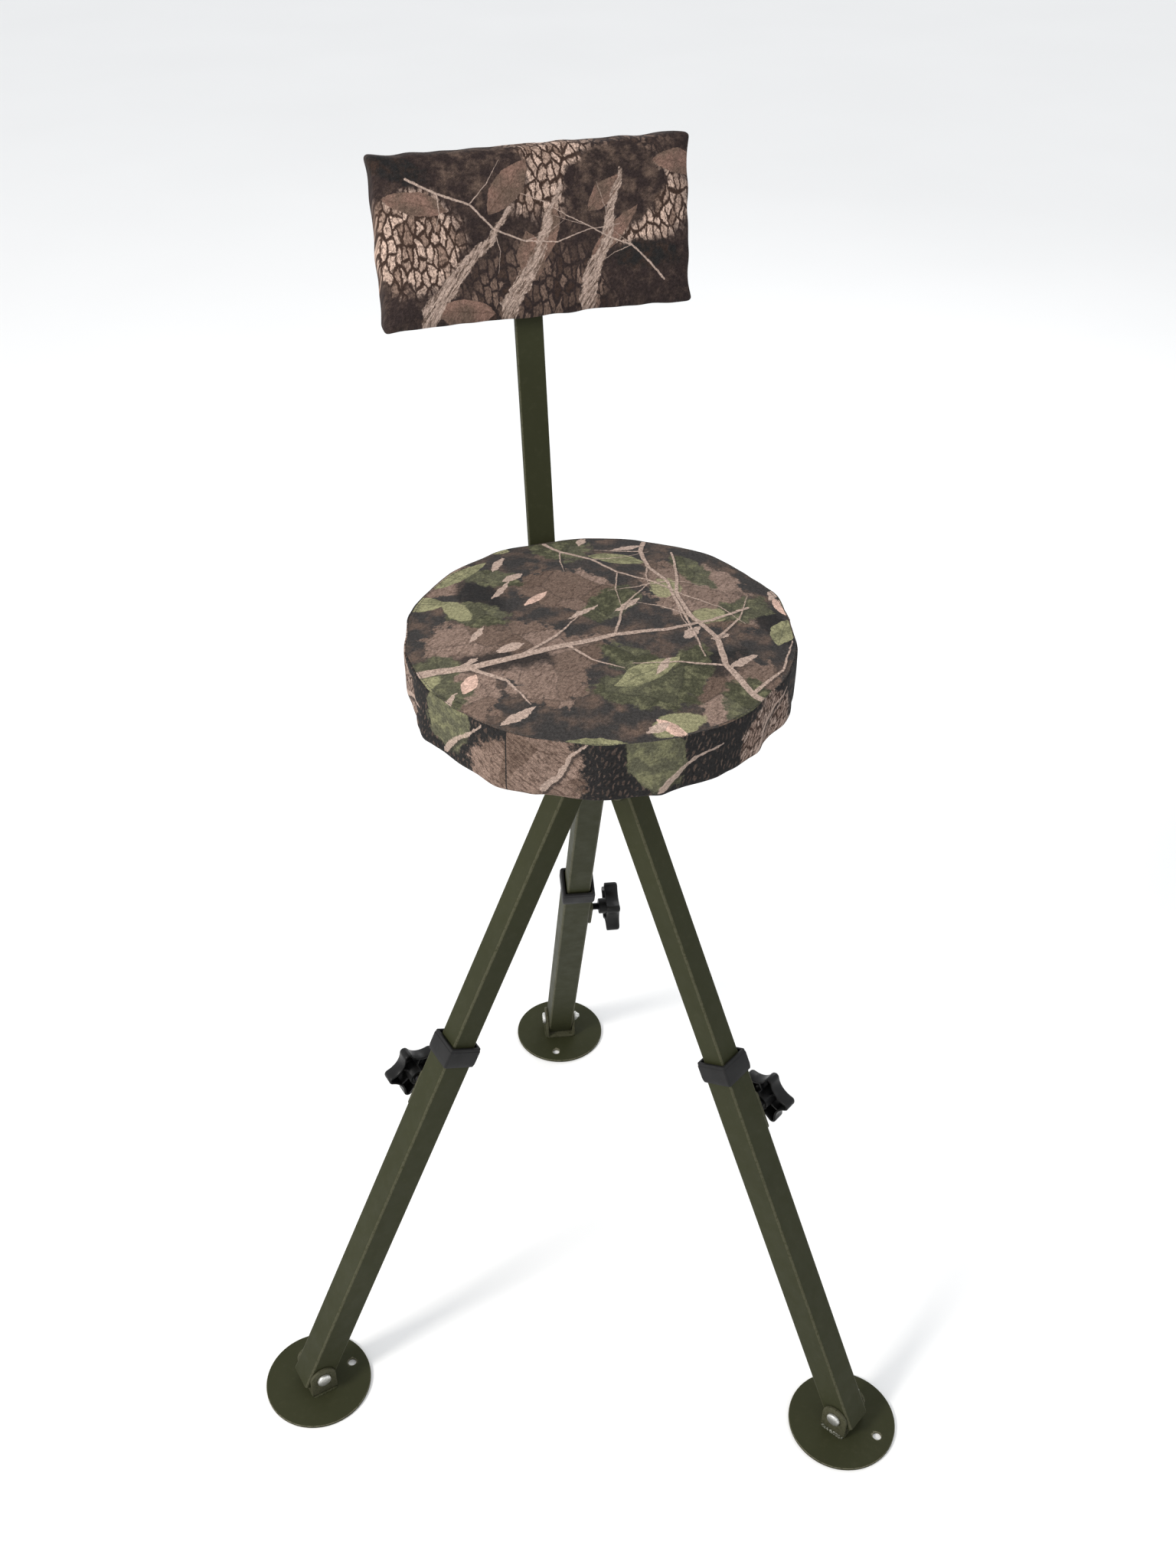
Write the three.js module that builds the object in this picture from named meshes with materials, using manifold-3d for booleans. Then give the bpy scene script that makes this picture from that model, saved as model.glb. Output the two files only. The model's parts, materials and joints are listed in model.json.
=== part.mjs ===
// Three leg swivel stool with a padded backrest, for use in the field.
// Millimetres, +Z up, the front of the stool towards -Y. The legs fold and telescope, the seat and its
// backrest swivel together, and each flat foot tilts on its own bolt.
import * as THREE from 'three';
import { mergeVertices } from 'three/addons/utils/BufferGeometryUtils.js';
import Module from 'manifold-3d';

const wasm = await Module();
wasm.setup();

// ---- Driving dimensions ----
const GAP = 0.3; // running or assembly gap between neighbouring pieces

const FOOT_RADIUS = 340; // from the swivel axis to each foot's centre
const FOOT_PIVOT_HEIGHT = 27;
const HUB_PIVOT_RADIUS = 28;
const HUB_PIVOT_HEIGHT = 683;

const INNER_TUBE = 25; // outside width of the square upper tube
const OUTER_TUBE = 30; // outside width of the square lower tube
const TUBE_WALL = 1.5;
const TUBE_END = 14; // from a pivot bolt's centre to the cut end of its tube
const INNER_TUBE_REACH = 455; // from the hub pivot to the hidden lower end of the upper tube
const OUTER_TUBE_REACH = 430; // from the foot pivot to the top of the lower tube

const DISC_RADIUS = 55;
const DISC_THICKNESS = 3;
const PEG_HOLE_RADIUS = 4.5;
const PEG_HOLE_OFFSET = 39;
const BRACKET_WIDTH = 28;
const BRACKET_SHEET = 3;

const COLLAR_WIDTH = 35;
const COLLAR_HEIGHT = 22;
const COLLAR_LIP = 3.5;
const STUD_HEIGHT = 361; // from the foot pivot up the leg to the clamping stud
const STUD_RADIUS = 4;
const KNOB_RADIUS = 28;
const KNOB_THICKNESS = 15;
const KNOB_TURN = 51; // degrees from the leg's outer side to the first lobe

const SEAT_RADIUS = 167;
const SEAT_TOP = 830;
const SEAT_THICKNESS = 57;
const SEAT_SWIVEL = 18; // degrees that the seat and backrest are turned from straight ahead
const BOARD_RADIUS = 155;
const BOARD_THICKNESS = 12;
const SEAT_PLATE_WIDTH = 150;
const SEAT_PLATE_SHEET = 3;

const POST_WIDTH = 25;
const POST_THICKNESS = 6;
const POST_RADIUS = 172; // from the swivel axis to the post where it passes the seat's underside
const POST_RECLINE = 9.5; // degrees
const POST_BEND_RADIUS = 14; // at the middle of the bar
const PAD_WIDTH = 268;
const PAD_HEIGHT = 136;
const PAD_BOTTOM = 253; // up the post from the seat's underside
const PAD_SHIFT = 8; // the pad's middle, to the right of the post
const PAD_FRONT = 19; // the pad's front face, ahead of the middle of the post
const PAD_BACK = 9;
const BACK_SCREW_SPREAD = 30; // each backrest screw, from the pad's mid height

// Each leg's direction in degrees, whether its lower half is turned to put the knob on the other side,
// how far the knob stands from the middle of the tube when it is screwed home, and how many degrees the
// foot's disc was turned when it was welded on.
const LEGS = [
  { name: 'left', azimuth: 211.5, turned: false, knobStart: 30.5, discTurn: 1 },
  { name: 'right', azimuth: 320, turned: true, knobStart: 27, discTurn: 12 },
  { name: 'back', azimuth: 97.5, turned: false, knobStart: 27, discTurn: -13 },
];

// ---- Values worked out from them ----
const radians = THREE.MathUtils.degToRad;
const legRun = FOOT_RADIUS - HUB_PIVOT_RADIUS;
const legRise = HUB_PIVOT_HEIGHT - FOOT_PIVOT_HEIGHT;
const legLength = Math.hypot(legRun, legRise);
const splay = Math.atan2(legRun, legRise);
const stopHeight = TUBE_END * Math.cos(splay) + (INNER_TUBE / 2) * Math.sin(splay);
const clevisTop = HUB_PIVOT_HEIGHT + stopHeight + GAP + BRACKET_SHEET;
const seatBottom = SEAT_TOP - SEAT_THICKNESS;
const boardBottom = seatBottom + GAP;
const seatPlateBottom = boardBottom - GAP - SEAT_PLATE_SHEET;
const padMiddle = PAD_BOTTOM + PAD_HEIGHT / 2;
const backScrewHeights = [padMiddle - BACK_SCREW_SPREAD, padMiddle + BACK_SCREW_SPREAD];
const postTop = PAD_BOTTOM + PAD_HEIGHT - 18; // up the post from the seat's underside

// ---- Materials ----
const paint = new THREE.MeshStandardMaterial({ color: 0x4a4c38, roughness: 0.5, metalness: 0.3 });
const plastic = new THREE.MeshStandardMaterial({ color: 0x2b2a2b, roughness: 0.5, metalness: 0 });
const zinc = new THREE.MeshStandardMaterial({ color: 0xb9bbbd, roughness: 0.3, metalness: 1 });
const blackened = new THREE.MeshStandardMaterial({ color: 0x26262a, roughness: 0.4, metalness: 1 });
const nylon = new THREE.MeshStandardMaterial({ color: 0xd8d6cc, roughness: 0.5, metalness: 0 });
const plywood = new THREE.MeshStandardMaterial({ color: 0xb58f5e, roughness: 0.7, metalness: 0 });
const fabric = new THREE.MeshStandardMaterial({ color: 0x5f5345, roughness: 0.95, metalness: 0 });

// ---- Solids ----
function toSolid(geometry) {
  const bare = geometry.clone();
  bare.deleteAttribute('normal');
  bare.deleteAttribute('uv');
  const merged = mergeVertices(bare, 1e-4);
  return new wasm.Manifold(new wasm.Mesh({
    numProp: 3,
    vertProperties: new Float32Array(merged.attributes.position.array),
    triVerts: new Uint32Array(merged.index.array),
  }));
}

function toGeometry(solid) {
  const mesh = solid.getMesh();
  const geometry = new THREE.BufferGeometry();
  geometry.setAttribute('position', new THREE.BufferAttribute(mesh.vertProperties, 3));
  geometry.setIndex(new THREE.BufferAttribute(mesh.triVerts, 1));
  geometry.computeVertexNormals();
  return geometry;
}

function join(...pieces) {
  return toGeometry(pieces.map(toSolid).reduce((whole, piece) => whole.add(piece)));
}

function cut(body, ...tools) {
  return toGeometry(tools.map(toSolid).reduce((left, tool) => left.subtract(tool), toSolid(body)));
}

// A block between two corners.
function block(low, high) {
  const size = high.map((value, i) => value - low[i]);
  const middle = high.map((value, i) => (value + low[i]) / 2);
  return new THREE.BoxGeometry(...size).translate(...middle);
}

// An upright cylinder between two heights.
function drum(radius, low, high, sides = 24) {
  return new THREE.CylinderGeometry(radius, radius, high - low, sides)
    .rotateX(Math.PI / 2)
    .translate(0, 0, (low + high) / 2);
}

// An outline extruded upwards from one height to another.
function prism(shape, low, high, curveSegments = 12) {
  return new THREE.ExtrudeGeometry(shape, { depth: high - low, bevelEnabled: false, curveSegments })
    .translate(0, 0, low);
}

// A rectangle with round corners, about the middle.
function roundedRectangle(width, height, radius) {
  const x = width / 2 - radius;
  const y = height / 2 - radius;
  const shape = new THREE.Shape();
  shape.absarc(x, -y, radius, -Math.PI / 2, 0);
  shape.absarc(x, y, radius, 0, Math.PI / 2);
  shape.absarc(-x, y, radius, Math.PI / 2, Math.PI);
  shape.absarc(-x, -y, radius, Math.PI, 1.5 * Math.PI);
  shape.closePath();
  return shape;
}

// A hollow square tube, upright.
function squareTube(width, wall, low, high) {
  const corner = 2.5;
  const shape = roundedRectangle(width, width, corner);
  shape.holes.push(roundedRectangle(width - 2 * wall, width - 2 * wall, corner - wall / 2));
  return prism(shape, low, high, 2);
}

// A cylinder along Y between two values of y, at the given x and z.
function crossDrum(radius, from, to, x, z, sides = 12) {
  return drum(radius, -to, -from, sides).rotateX(Math.PI / 2).translate(x, 0, z);
}

// A bolt along +Z with its head below z = 0.
function bolt(radius, length, headRadius, headHeight, headSides) {
  const head = drum(headRadius, -headHeight, 0, headSides);
  return join(head, drum(radius, -headHeight / 2, length, 12));
}

// A nut standing on z = 0.
function nut(radius, height, boreRadius) {
  return cut(drum(radius, 0, height, 6), drum(boreRadius, -1, height + 1, 12));
}

// A U of sheet: a web at the bottom and two upright ears, round about the pivot at the origin.
function uBracket(inside, width, webLow, holeRadius) {
  const outside = inside / 2 + BRACKET_SHEET;
  const ear = new THREE.Shape();
  ear.moveTo(-width / 2, webLow);
  ear.lineTo(width / 2, webLow);
  ear.absarc(0, 0, width / 2, 0, Math.PI);
  ear.closePath();
  const ears = [-outside, inside / 2].map(
    (low) => prism(ear, low, low + BRACKET_SHEET, 9).rotateX(Math.PI / 2),
  );
  const web = block([-width / 2, -outside, webLow], [width / 2, outside, webLow + BRACKET_SHEET]);
  return cut(join(...ears, web), crossDrum(holeRadius, -outside - 1, outside + 1, 0, 0));
}

function named(name, geometry, material, place = [0, 0, 0]) {
  const mesh = new THREE.Mesh(geometry, material);
  mesh.name = name;
  mesh.position.set(...place);
  return mesh;
}

// ---- Hub: the plate, sleeve and bushes that carry the swivelling seat ----
const HUB_PLATE_RADIUS = 52;
const HUB_PLATE_SHEET = 4;
const SLEEVE_RADIUS = 22;
const SLEEVE_BORE = 18.3;
const SLEEVE_HEIGHT = 39;
const BUSH_FLANGE = 3;
const SPINDLE_RADIUS = 14;
const RETAINER_RADIUS = 4;

const hubPlateLow = clevisTop + GAP;
const hubPlateTop = hubPlateLow + HUB_PLATE_SHEET;
const sleeveLow = hubPlateTop + GAP;
const sleeveTop = sleeveLow + SLEEVE_HEIGHT;
const flangeTop = sleeveTop + GAP + BUSH_FLANGE;

function ring(outer, inner, low, high, sides = 24) {
  return cut(drum(outer, low, high, sides), drum(inner, low - 1, high + 1, sides));
}

function makeHub() {
  const hub = new THREE.Group();
  const bushLength = 12;
  const bushRadius = SLEEVE_BORE - GAP;
  const bushBore = SPINDLE_RADIUS + GAP;
  const upperBush = join(
    drum(bushRadius, sleeveTop - bushLength, flangeTop),
    drum(SLEEVE_RADIUS + 1, sleeveTop + GAP, flangeTop),
  );
  hub.add(
    named('hub_plate', ring(HUB_PLATE_RADIUS, RETAINER_RADIUS + GAP, hubPlateLow, hubPlateTop, 48), paint),
    named('hub_sleeve', ring(SLEEVE_RADIUS, SLEEVE_BORE, sleeveLow, sleeveTop), paint),
    named('upper_bush', cut(upperBush, drum(bushBore, sleeveLow, flangeTop + 1)), nylon),
    named('lower_bush', ring(bushRadius, bushBore, sleeveLow, sleeveLow + bushLength), nylon),
  );
  return hub;
}

// ---- Seat: spindle, plate, board and cushion ----
const SCREW_RADIUS = 2.5;
const POST_BOLT_RADIUS = 3;

function makeSpindle() {
  const shoulderLow = flangeTop + GAP;
  const shoulderHeight = 5;
  const neckRadius = 20;
  const low = hubPlateTop + GAP;
  const top = seatPlateBottom - GAP;
  const solid = join(
    drum(SPINDLE_RADIUS, low, top),
    drum(SLEEVE_RADIUS + 1, shoulderLow, shoulderLow + shoulderHeight),
    drum(neckRadius, shoulderLow, top),
  );
  return cut(solid, drum(RETAINER_RADIUS + GAP, low - 1, low + 22, 20));
}

function makeSeat() {
  const seat = new THREE.Group();
  const washerThickness = 1.6;
  const washerTop = hubPlateLow - GAP;
  const washerLow = washerTop - washerThickness;
  const half = SEAT_PLATE_WIDTH / 2;
  const plateTop = seatPlateBottom + SEAT_PLATE_SHEET;
  const screwX = half - 15;
  const postBolts = [40, 64];
  const strapTop = seatPlateBottom - GAP;
  const strapLow = strapTop - POST_THICKNESS;
  const boardTop = boardBottom + BOARD_THICKNESS;

  const screwHoles = [-screwX, screwX].map(
    (x) => drum(SCREW_RADIUS + GAP, seatPlateBottom - 1, boardTop - 1, 16).translate(x, 0, 0),
  );
  const boltHoles = postBolts.map(
    (y) => drum(POST_BOLT_RADIUS + GAP, strapLow - 1, boardTop + 1, 16).translate(0, y, 0),
  );
  const plate = prism(roundedRectangle(SEAT_PLATE_WIDTH, SEAT_PLATE_WIDTH, 12), seatPlateBottom, plateTop, 4);
  const headRecesses = postBolts.map((y) => drum(8, boardTop - 3, boardTop + 1, 20).translate(0, y, 0));
  const board = drum(BOARD_RADIUS, boardBottom, boardTop, 40);
  const postScrewHoles = backScrewHeights.map(
    (z) => crossDrum(SCREW_RADIUS + GAP, -POST_THICKNESS, POST_THICKNESS, 0, z, 16)
      .rotateX(-radians(POST_RECLINE))
      .translate(0, POST_RADIUS, seatBottom),
  );

  seat.add(
    named('swivel_spindle', makeSpindle(), paint),
    named('retaining_washer', ring(9, RETAINER_RADIUS + GAP, washerLow, washerTop, 24), zinc),
    named('retaining_bolt', bolt(RETAINER_RADIUS, 24, 7, 5, 6), zinc, [0, 0, washerLow - GAP]),
    named('seat_plate', cut(plate, ...screwHoles, ...boltHoles), paint),
    named('seat_board', cut(board, ...screwHoles, ...boltHoles, ...headRecesses), plywood),
    named('seat_cushion', makeSeatCushion(boardTop), fabric),
    named('back_post', cut(makePost(strapTop), ...boltHoles, ...postScrewHoles), paint),
  );
  for (const [i, side] of ['left', 'right'].entries()) {
    const x = screwX * (2 * i - 1);
    seat.add(named(`seat_screw_${side}`, bolt(SCREW_RADIUS, 12, 5, 3, 16), zinc, [x, 0, seatPlateBottom - GAP]));
  }
  for (const [i, place] of ['front', 'rear'].entries()) {
    const down = bolt(POST_BOLT_RADIUS, 30, 7.5, 2.5, 16).rotateX(Math.PI);
    seat.add(
      named(`post_bolt_${place}`, down, zinc, [0, postBolts[i], boardTop - 3 + GAP]),
      named(`post_nut_${place}`, nut(5.8, 5, POST_BOLT_RADIUS + GAP), zinc, [0, postBolts[i], strapLow - GAP - 5]),
    );
  }
  return seat;
}

// A round cushion whose cover wraps the board: crowned on top, with the board's recess underneath.
function makeSeatCushion(boardTop) {
  const inner = BOARD_RADIUS + GAP;
  const roof = boardTop + GAP;
  const rimTop = SEAT_TOP - 4;
  const profile = new THREE.Path();
  profile.moveTo(0, roof);
  profile.lineTo(inner, roof);
  profile.lineTo(inner, seatBottom);
  profile.lineTo(SEAT_RADIUS - 4, seatBottom);
  profile.quadraticCurveTo(SEAT_RADIUS, seatBottom, SEAT_RADIUS, seatBottom + 6);
  profile.lineTo(SEAT_RADIUS, rimTop - 5);
  profile.quadraticCurveTo(SEAT_RADIUS, rimTop, SEAT_RADIUS - 5, rimTop);
  profile.quadraticCurveTo(SEAT_RADIUS / 2, SEAT_TOP, 0, SEAT_TOP);
  return new THREE.LatheGeometry(profile.getPoints(3), 40).rotateX(Math.PI / 2);
}

// ---- Backrest: a flat bar bent up behind the seat, a board screwed to it, and its pad ----
function makePost(strapTop) {
  const recline = radians(POST_RECLINE);
  const turn = Math.PI / 2 - recline;
  const half = POST_THICKNESS / 2;
  const middle = strapTop - half;
  const along = [Math.sin(recline), Math.cos(recline)];
  const passing = [POST_RADIUS, seatBottom];
  const tangent = POST_BEND_RADIUS * Math.tan(turn / 2);
  const corner = passing[0] - (passing[1] - middle) * Math.tan(recline);
  const centre = [corner - tangent, middle + POST_BEND_RADIUS];
  const tip = [passing[0] + along[0] * postTop, passing[1] + along[1] * postTop];
  const outline = new THREE.Shape();
  outline.moveTo(26, middle - half);
  outline.absarc(...centre, POST_BEND_RADIUS + half, -Math.PI / 2, -recline);
  outline.lineTo(tip[0] + half * along[1], tip[1] - half * along[0]);
  outline.lineTo(tip[0] - half * along[1], tip[1] + half * along[0]);
  outline.absarc(...centre, POST_BEND_RADIUS - half, -recline, -Math.PI / 2, true);
  outline.lineTo(26, middle + half);
  outline.closePath();
  return prism(outline, -POST_WIDTH / 2, POST_WIDTH / 2, 8)
    .rotateX(Math.PI / 2)
    .rotateZ(Math.PI / 2);
}

// The backrest's own group stands on the post where it passes the seat's underside, leaning back with
// it: +Z runs up the post and -Y is its front.
function makeBackrest() {
  const back = new THREE.Group();
  back.position.set(0, POST_RADIUS, seatBottom);
  back.rotation.x = -radians(POST_RECLINE);
  const boardWidth = PAD_WIDTH - 26;
  const boardHeight = PAD_HEIGHT - 26;
  const boardThickness = 8;
  const boardBack = -POST_THICKNESS / 2 - GAP;
  const boardFront = boardBack - boardThickness;

  const standing = (shape, front, rear, z) => prism(shape, -rear, -front, 4)
    .rotateX(Math.PI / 2)
    .translate(PAD_SHIFT, 0, z);
  const boardShape = roundedRectangle(boardWidth, boardHeight, 10);
  const pocketShape = roundedRectangle(boardWidth + 2 * GAP, boardHeight + 2 * GAP, 10 + GAP);
  const padShape = roundedRectangle(PAD_WIDTH, PAD_HEIGHT, 14);

  const headRoom = 3.5;
  const postHalf = POST_WIDTH / 2 + GAP;
  const postSlot = block(
    [-postHalf, -POST_THICKNESS / 2 - GAP * 2, PAD_BOTTOM - 1],
    [postHalf, POST_THICKNESS / 2 + GAP, postTop + GAP],
  );
  const headSlot = block(
    [-8, 0, padMiddle - 40],
    [8, POST_THICKNESS / 2 + headRoom, padMiddle + 40],
  );
  const pocket = standing(pocketShape, boardFront - GAP, boardBack + GAP, padMiddle);
  const pad = standing(padShape, -PAD_FRONT, PAD_BACK, padMiddle);
  const screwHoles = backScrewHeights.map(
    (z) => crossDrum(SCREW_RADIUS + GAP, boardFront + 1, boardBack + 1, 0, z, 16),
  );
  back.add(
    named('back_board', cut(standing(boardShape, boardFront, boardBack, padMiddle), ...screwHoles), plywood),
    named('back_cushion', cut(pad, pocket, postSlot, headSlot), fabric),
  );
  for (const [i, place] of ['lower', 'upper'].entries()) {
    const screw = bolt(SCREW_RADIUS, POST_THICKNESS + 6, 5, 2.5, 16).rotateX(Math.PI / 2);
    back.add(named(`back_screw_${place}`, screw, zinc, [0, POST_THICKNESS / 2 + GAP, backScrewHeights[i]]));
  }
  return back;
}

// ---- Leg: clevis, two telescoping tubes, collar, clamping knob and tilting foot ----
const HUB_BOLT_RADIUS = 4;
const FOOT_BOLT_RADIUS = 3;
const BOSS_SHEET = 3.5;
const STUD_TIP = INNER_TUBE / 2 + GAP;
const BOSS_WIDTH = 24;
const BOSS_HEIGHT = 42;
const KNOB_HUB_RADIUS = 8.5;
const KNOB_HUB_LENGTH = 7;
const KNOB_LOBES = 5;
const KNOB_TIP_RADIUS = 4.5;
const KNOB_WAIST = 19; // from the knob's middle to the bottom of the hollows between its lobes
const KNOB_FACE = 4; // thickness of the star's outer face, behind which it is hollow
const KNOB_WALL = 2.5;
const STUD_GRIP = 8; // length of the stud inside the star of the knob

function makeUpperLeg(name) {
  const tube = squareTube(INNER_TUBE, TUBE_WALL, -INNER_TUBE_REACH, TUBE_END);
  const hole = crossDrum(HUB_BOLT_RADIUS + GAP, -INNER_TUBE, INNER_TUBE, 0, 0);
  return named(`${name}_upper_tube`, cut(tube, hole), paint);
}

function makeClevis(name) {
  const clevis = new THREE.Group();
  const inside = INNER_TUBE + 2 * GAP;
  const face = inside / 2 + BRACKET_SHEET + GAP;
  const nutHeight = 6;
  const reach = 2 * face + nutHeight + 2;
  clevis.position.set(HUB_PIVOT_RADIUS, 0, HUB_PIVOT_HEIGHT);
  const bracket = uBracket(inside, 26, -stopHeight - GAP - BRACKET_SHEET, HUB_BOLT_RADIUS + GAP);
  clevis.add(
    named(`${name}_clevis`, bracket.rotateX(Math.PI), paint),
    named(`${name}_hub_bolt`, bolt(HUB_BOLT_RADIUS, reach, 7.5, 5, 6).rotateX(Math.PI / 2), zinc, [0, face, 0]),
    named(`${name}_hub_nut`, nut(7.5, nutHeight, HUB_BOLT_RADIUS + GAP).rotateX(Math.PI / 2), zinc, [0, -face, 0]),
  );
  return clevis;
}

// The outline of a star knob: round tips, joined by hollow arcs that run smoothly into them.
function starOutline() {
  const half = Math.PI / KNOB_LOBES;
  const tipAt = KNOB_RADIUS - KNOB_TIP_RADIUS;
  const inset = KNOB_WAIST - KNOB_TIP_RADIUS;
  const hollowAt = (tipAt ** 2 - inset ** 2) / (2 * (tipAt * Math.cos(half) - inset));
  const lean = Math.atan2(hollowAt * Math.sin(half), hollowAt * Math.cos(half) - tipAt);
  const arc = (distance, bearing, radius, from, to, steps) => Array.from({ length: steps }, (_, i) => {
    const angle = from + ((to - from) * i) / steps;
    return new THREE.Vector2(
      distance * Math.cos(bearing) + radius * Math.cos(angle),
      distance * Math.sin(bearing) + radius * Math.sin(angle),
    );
  });
  const points = [];
  for (let lobe = 0; lobe < KNOB_LOBES; lobe += 1) {
    const bearing = radians(KNOB_TURN) + 2 * half * lobe;
    const across = bearing + half;
    points.push(
      ...arc(tipAt, bearing, KNOB_TIP_RADIUS, bearing - lean, bearing + lean, 6),
      ...arc(hollowAt, across, hollowAt - KNOB_WAIST, bearing + lean + Math.PI, across + half - lean + Math.PI, 4),
    );
  }
  return new THREE.Shape(points);
}

// A knob along +Z on its stud, with its hub's face at z = 0. Its star is hollow behind, round the hub.
function makeKnob() {
  const bevel = 1.5;
  const top = KNOB_HUB_LENGTH + KNOB_THICKNESS;
  const star = new THREE.ExtrudeGeometry(starOutline(), {
    depth: KNOB_THICKNESS - 2 * bevel,
    bevelThickness: bevel,
    bevelSize: bevel,
    bevelOffset: -bevel,
    bevelSegments: 1,
  }).translate(0, 0, KNOB_HUB_LENGTH + bevel);
  const hollow = cut(star, drum(KNOB_WAIST - KNOB_WALL, KNOB_HUB_LENGTH - 1, top - KNOB_FACE, 30));
  const whole = join(hollow, drum(KNOB_HUB_RADIUS, 0, top - 1, 20));
  return cut(whole, drum(STUD_RADIUS + GAP, -1, KNOB_HUB_LENGTH + STUD_GRIP + GAP, 16));
}

function makeLowerLeg(name, knobStart) {
  const leg = new THREE.Group();
  const tube = squareTube(OUTER_TUBE, TUBE_WALL, -TUBE_END, OUTER_TUBE_REACH);
  const footHole = crossDrum(FOOT_BOLT_RADIUS + GAP, -OUTER_TUBE, OUTER_TUBE, 0, 0);
  const studHole = crossDrum(STUD_RADIUS + GAP, -OUTER_TUBE, -5, 0, STUD_HEIGHT);

  const collarTop = OUTER_TUBE_REACH + GAP + COLLAR_LIP;
  const collarLow = collarTop - COLLAR_HEIGHT;
  const skirtHalf = OUTER_TUBE / 2 + GAP;
  const lipHalf = INNER_TUBE / 2 + 1.7;
  const collar = cut(
    prism(roundedRectangle(COLLAR_WIDTH, COLLAR_WIDTH, 3), collarLow, collarTop, 3),
    block([-skirtHalf, -skirtHalf, collarLow - 1], [skirtHalf, skirtHalf, OUTER_TUBE_REACH + GAP]),
    block([-lipHalf, -lipHalf, collarLow], [lipHalf, lipHalf, collarTop + 1]),
  );
  const bossFace = OUTER_TUBE / 2 + GAP;
  const boss = cut(
    prism(roundedRectangle(BOSS_WIDTH, BOSS_HEIGHT, 2), bossFace, bossFace + BOSS_SHEET, 2),
    drum(STUD_RADIUS + GAP, 0, 2 * bossFace, 16),
  ).rotateX(Math.PI / 2);
  const studEnd = knobStart + KNOB_HUB_LENGTH + STUD_GRIP;
  const stud = drum(STUD_RADIUS, STUD_TIP, studEnd, 16).rotateX(Math.PI / 2);
  leg.add(
    named(`${name}_lower_tube`, cut(tube, footHole, studHole), paint),
    named(`${name}_collar`, collar, plastic),
    named(`${name}_boss`, boss, paint, [0, 0, STUD_HEIGHT]),
    named(`${name}_stud`, stud, blackened, [0, 0, STUD_HEIGHT]),
    named(`${name}_knob`, makeKnob().rotateX(Math.PI / 2), plastic, [0, -knobStart, STUD_HEIGHT]),
  );
  return leg;
}

function makeFoot(name, discTurn) {
  const foot = new THREE.Group();
  const inside = OUTER_TUBE + 2 * GAP;
  const face = inside / 2 + BRACKET_SHEET + GAP;
  const nutHeight = 5;
  const discTop = DISC_THICKNESS - FOOT_PIVOT_HEIGHT;
  const webLow = discTop + GAP;
  const pegHole = drum(PEG_HOLE_RADIUS, -FOOT_PIVOT_HEIGHT - 1, discTop + 1, 16)
    .translate(-PEG_HOLE_OFFSET, 0, 0)
    .rotateZ(radians(discTurn));
  const disc = cut(drum(DISC_RADIUS, -FOOT_PIVOT_HEIGHT, discTop, 40), pegHole);
  foot.add(
    named(`${name}_foot_disc`, disc, paint),
    named(`${name}_foot_bracket`, uBracket(inside, BRACKET_WIDTH, webLow, FOOT_BOLT_RADIUS + GAP), paint),
    named(`${name}_foot_bolt`, bolt(FOOT_BOLT_RADIUS, 2 * face + nutHeight + 2, 6, 4, 20).rotateX(Math.PI / 2),
      zinc, [0, face, 0]),
    named(`${name}_foot_nut`, nut(5.8, nutHeight, FOOT_BOLT_RADIUS + GAP).rotateX(Math.PI / 2), zinc,
      [0, -face, 0]),
  );
  return foot;
}

function makeLeg({ name, azimuth, turned, knobStart, discTurn }) {
  const spoke = new THREE.Group();
  spoke.rotation.z = radians(azimuth);
  const upper = new THREE.Group();
  upper.position.set(HUB_PIVOT_RADIUS, 0, HUB_PIVOT_HEIGHT);
  upper.rotation.y = -splay;
  upper.add(makeUpperLeg(name));
  const lower = makeLowerLeg(name, knobStart);
  lower.position.z = -legLength;
  lower.rotation.z = turned ? Math.PI : 0;
  upper.add(lower);
  const foot = makeFoot(name, discTurn);
  foot.position.set(FOOT_RADIUS, 0, FOOT_PIVOT_HEIGHT);
  foot.rotation.z = turned ? Math.PI : 0;
  spoke.add(makeClevis(name), upper, foot);
  return spoke;
}

// ---- The whole stool ----
const stool = new THREE.Group();
stool.add(makeHub(), ...LEGS.map(makeLeg));
const seat = makeSeat();
seat.add(makeBackrest());
seat.rotation.z = radians(SEAT_SWIVEL);
stool.add(seat);

// The origin is the middle of the bottom of the whole stool's box.
const bounds = new THREE.Box3().setFromObject(stool, true);
const middle = bounds.getCenter(new THREE.Vector3());
stool.position.set(-middle.x, -middle.y, -bounds.min.z);

export default stool;
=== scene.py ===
# A three leg swivel stool in camouflage fabric and olive paint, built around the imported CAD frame.
import json
import math
import random

import bmesh
import bpy
import numpy as np
from mathutils import Matrix, Vector, noise


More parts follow.
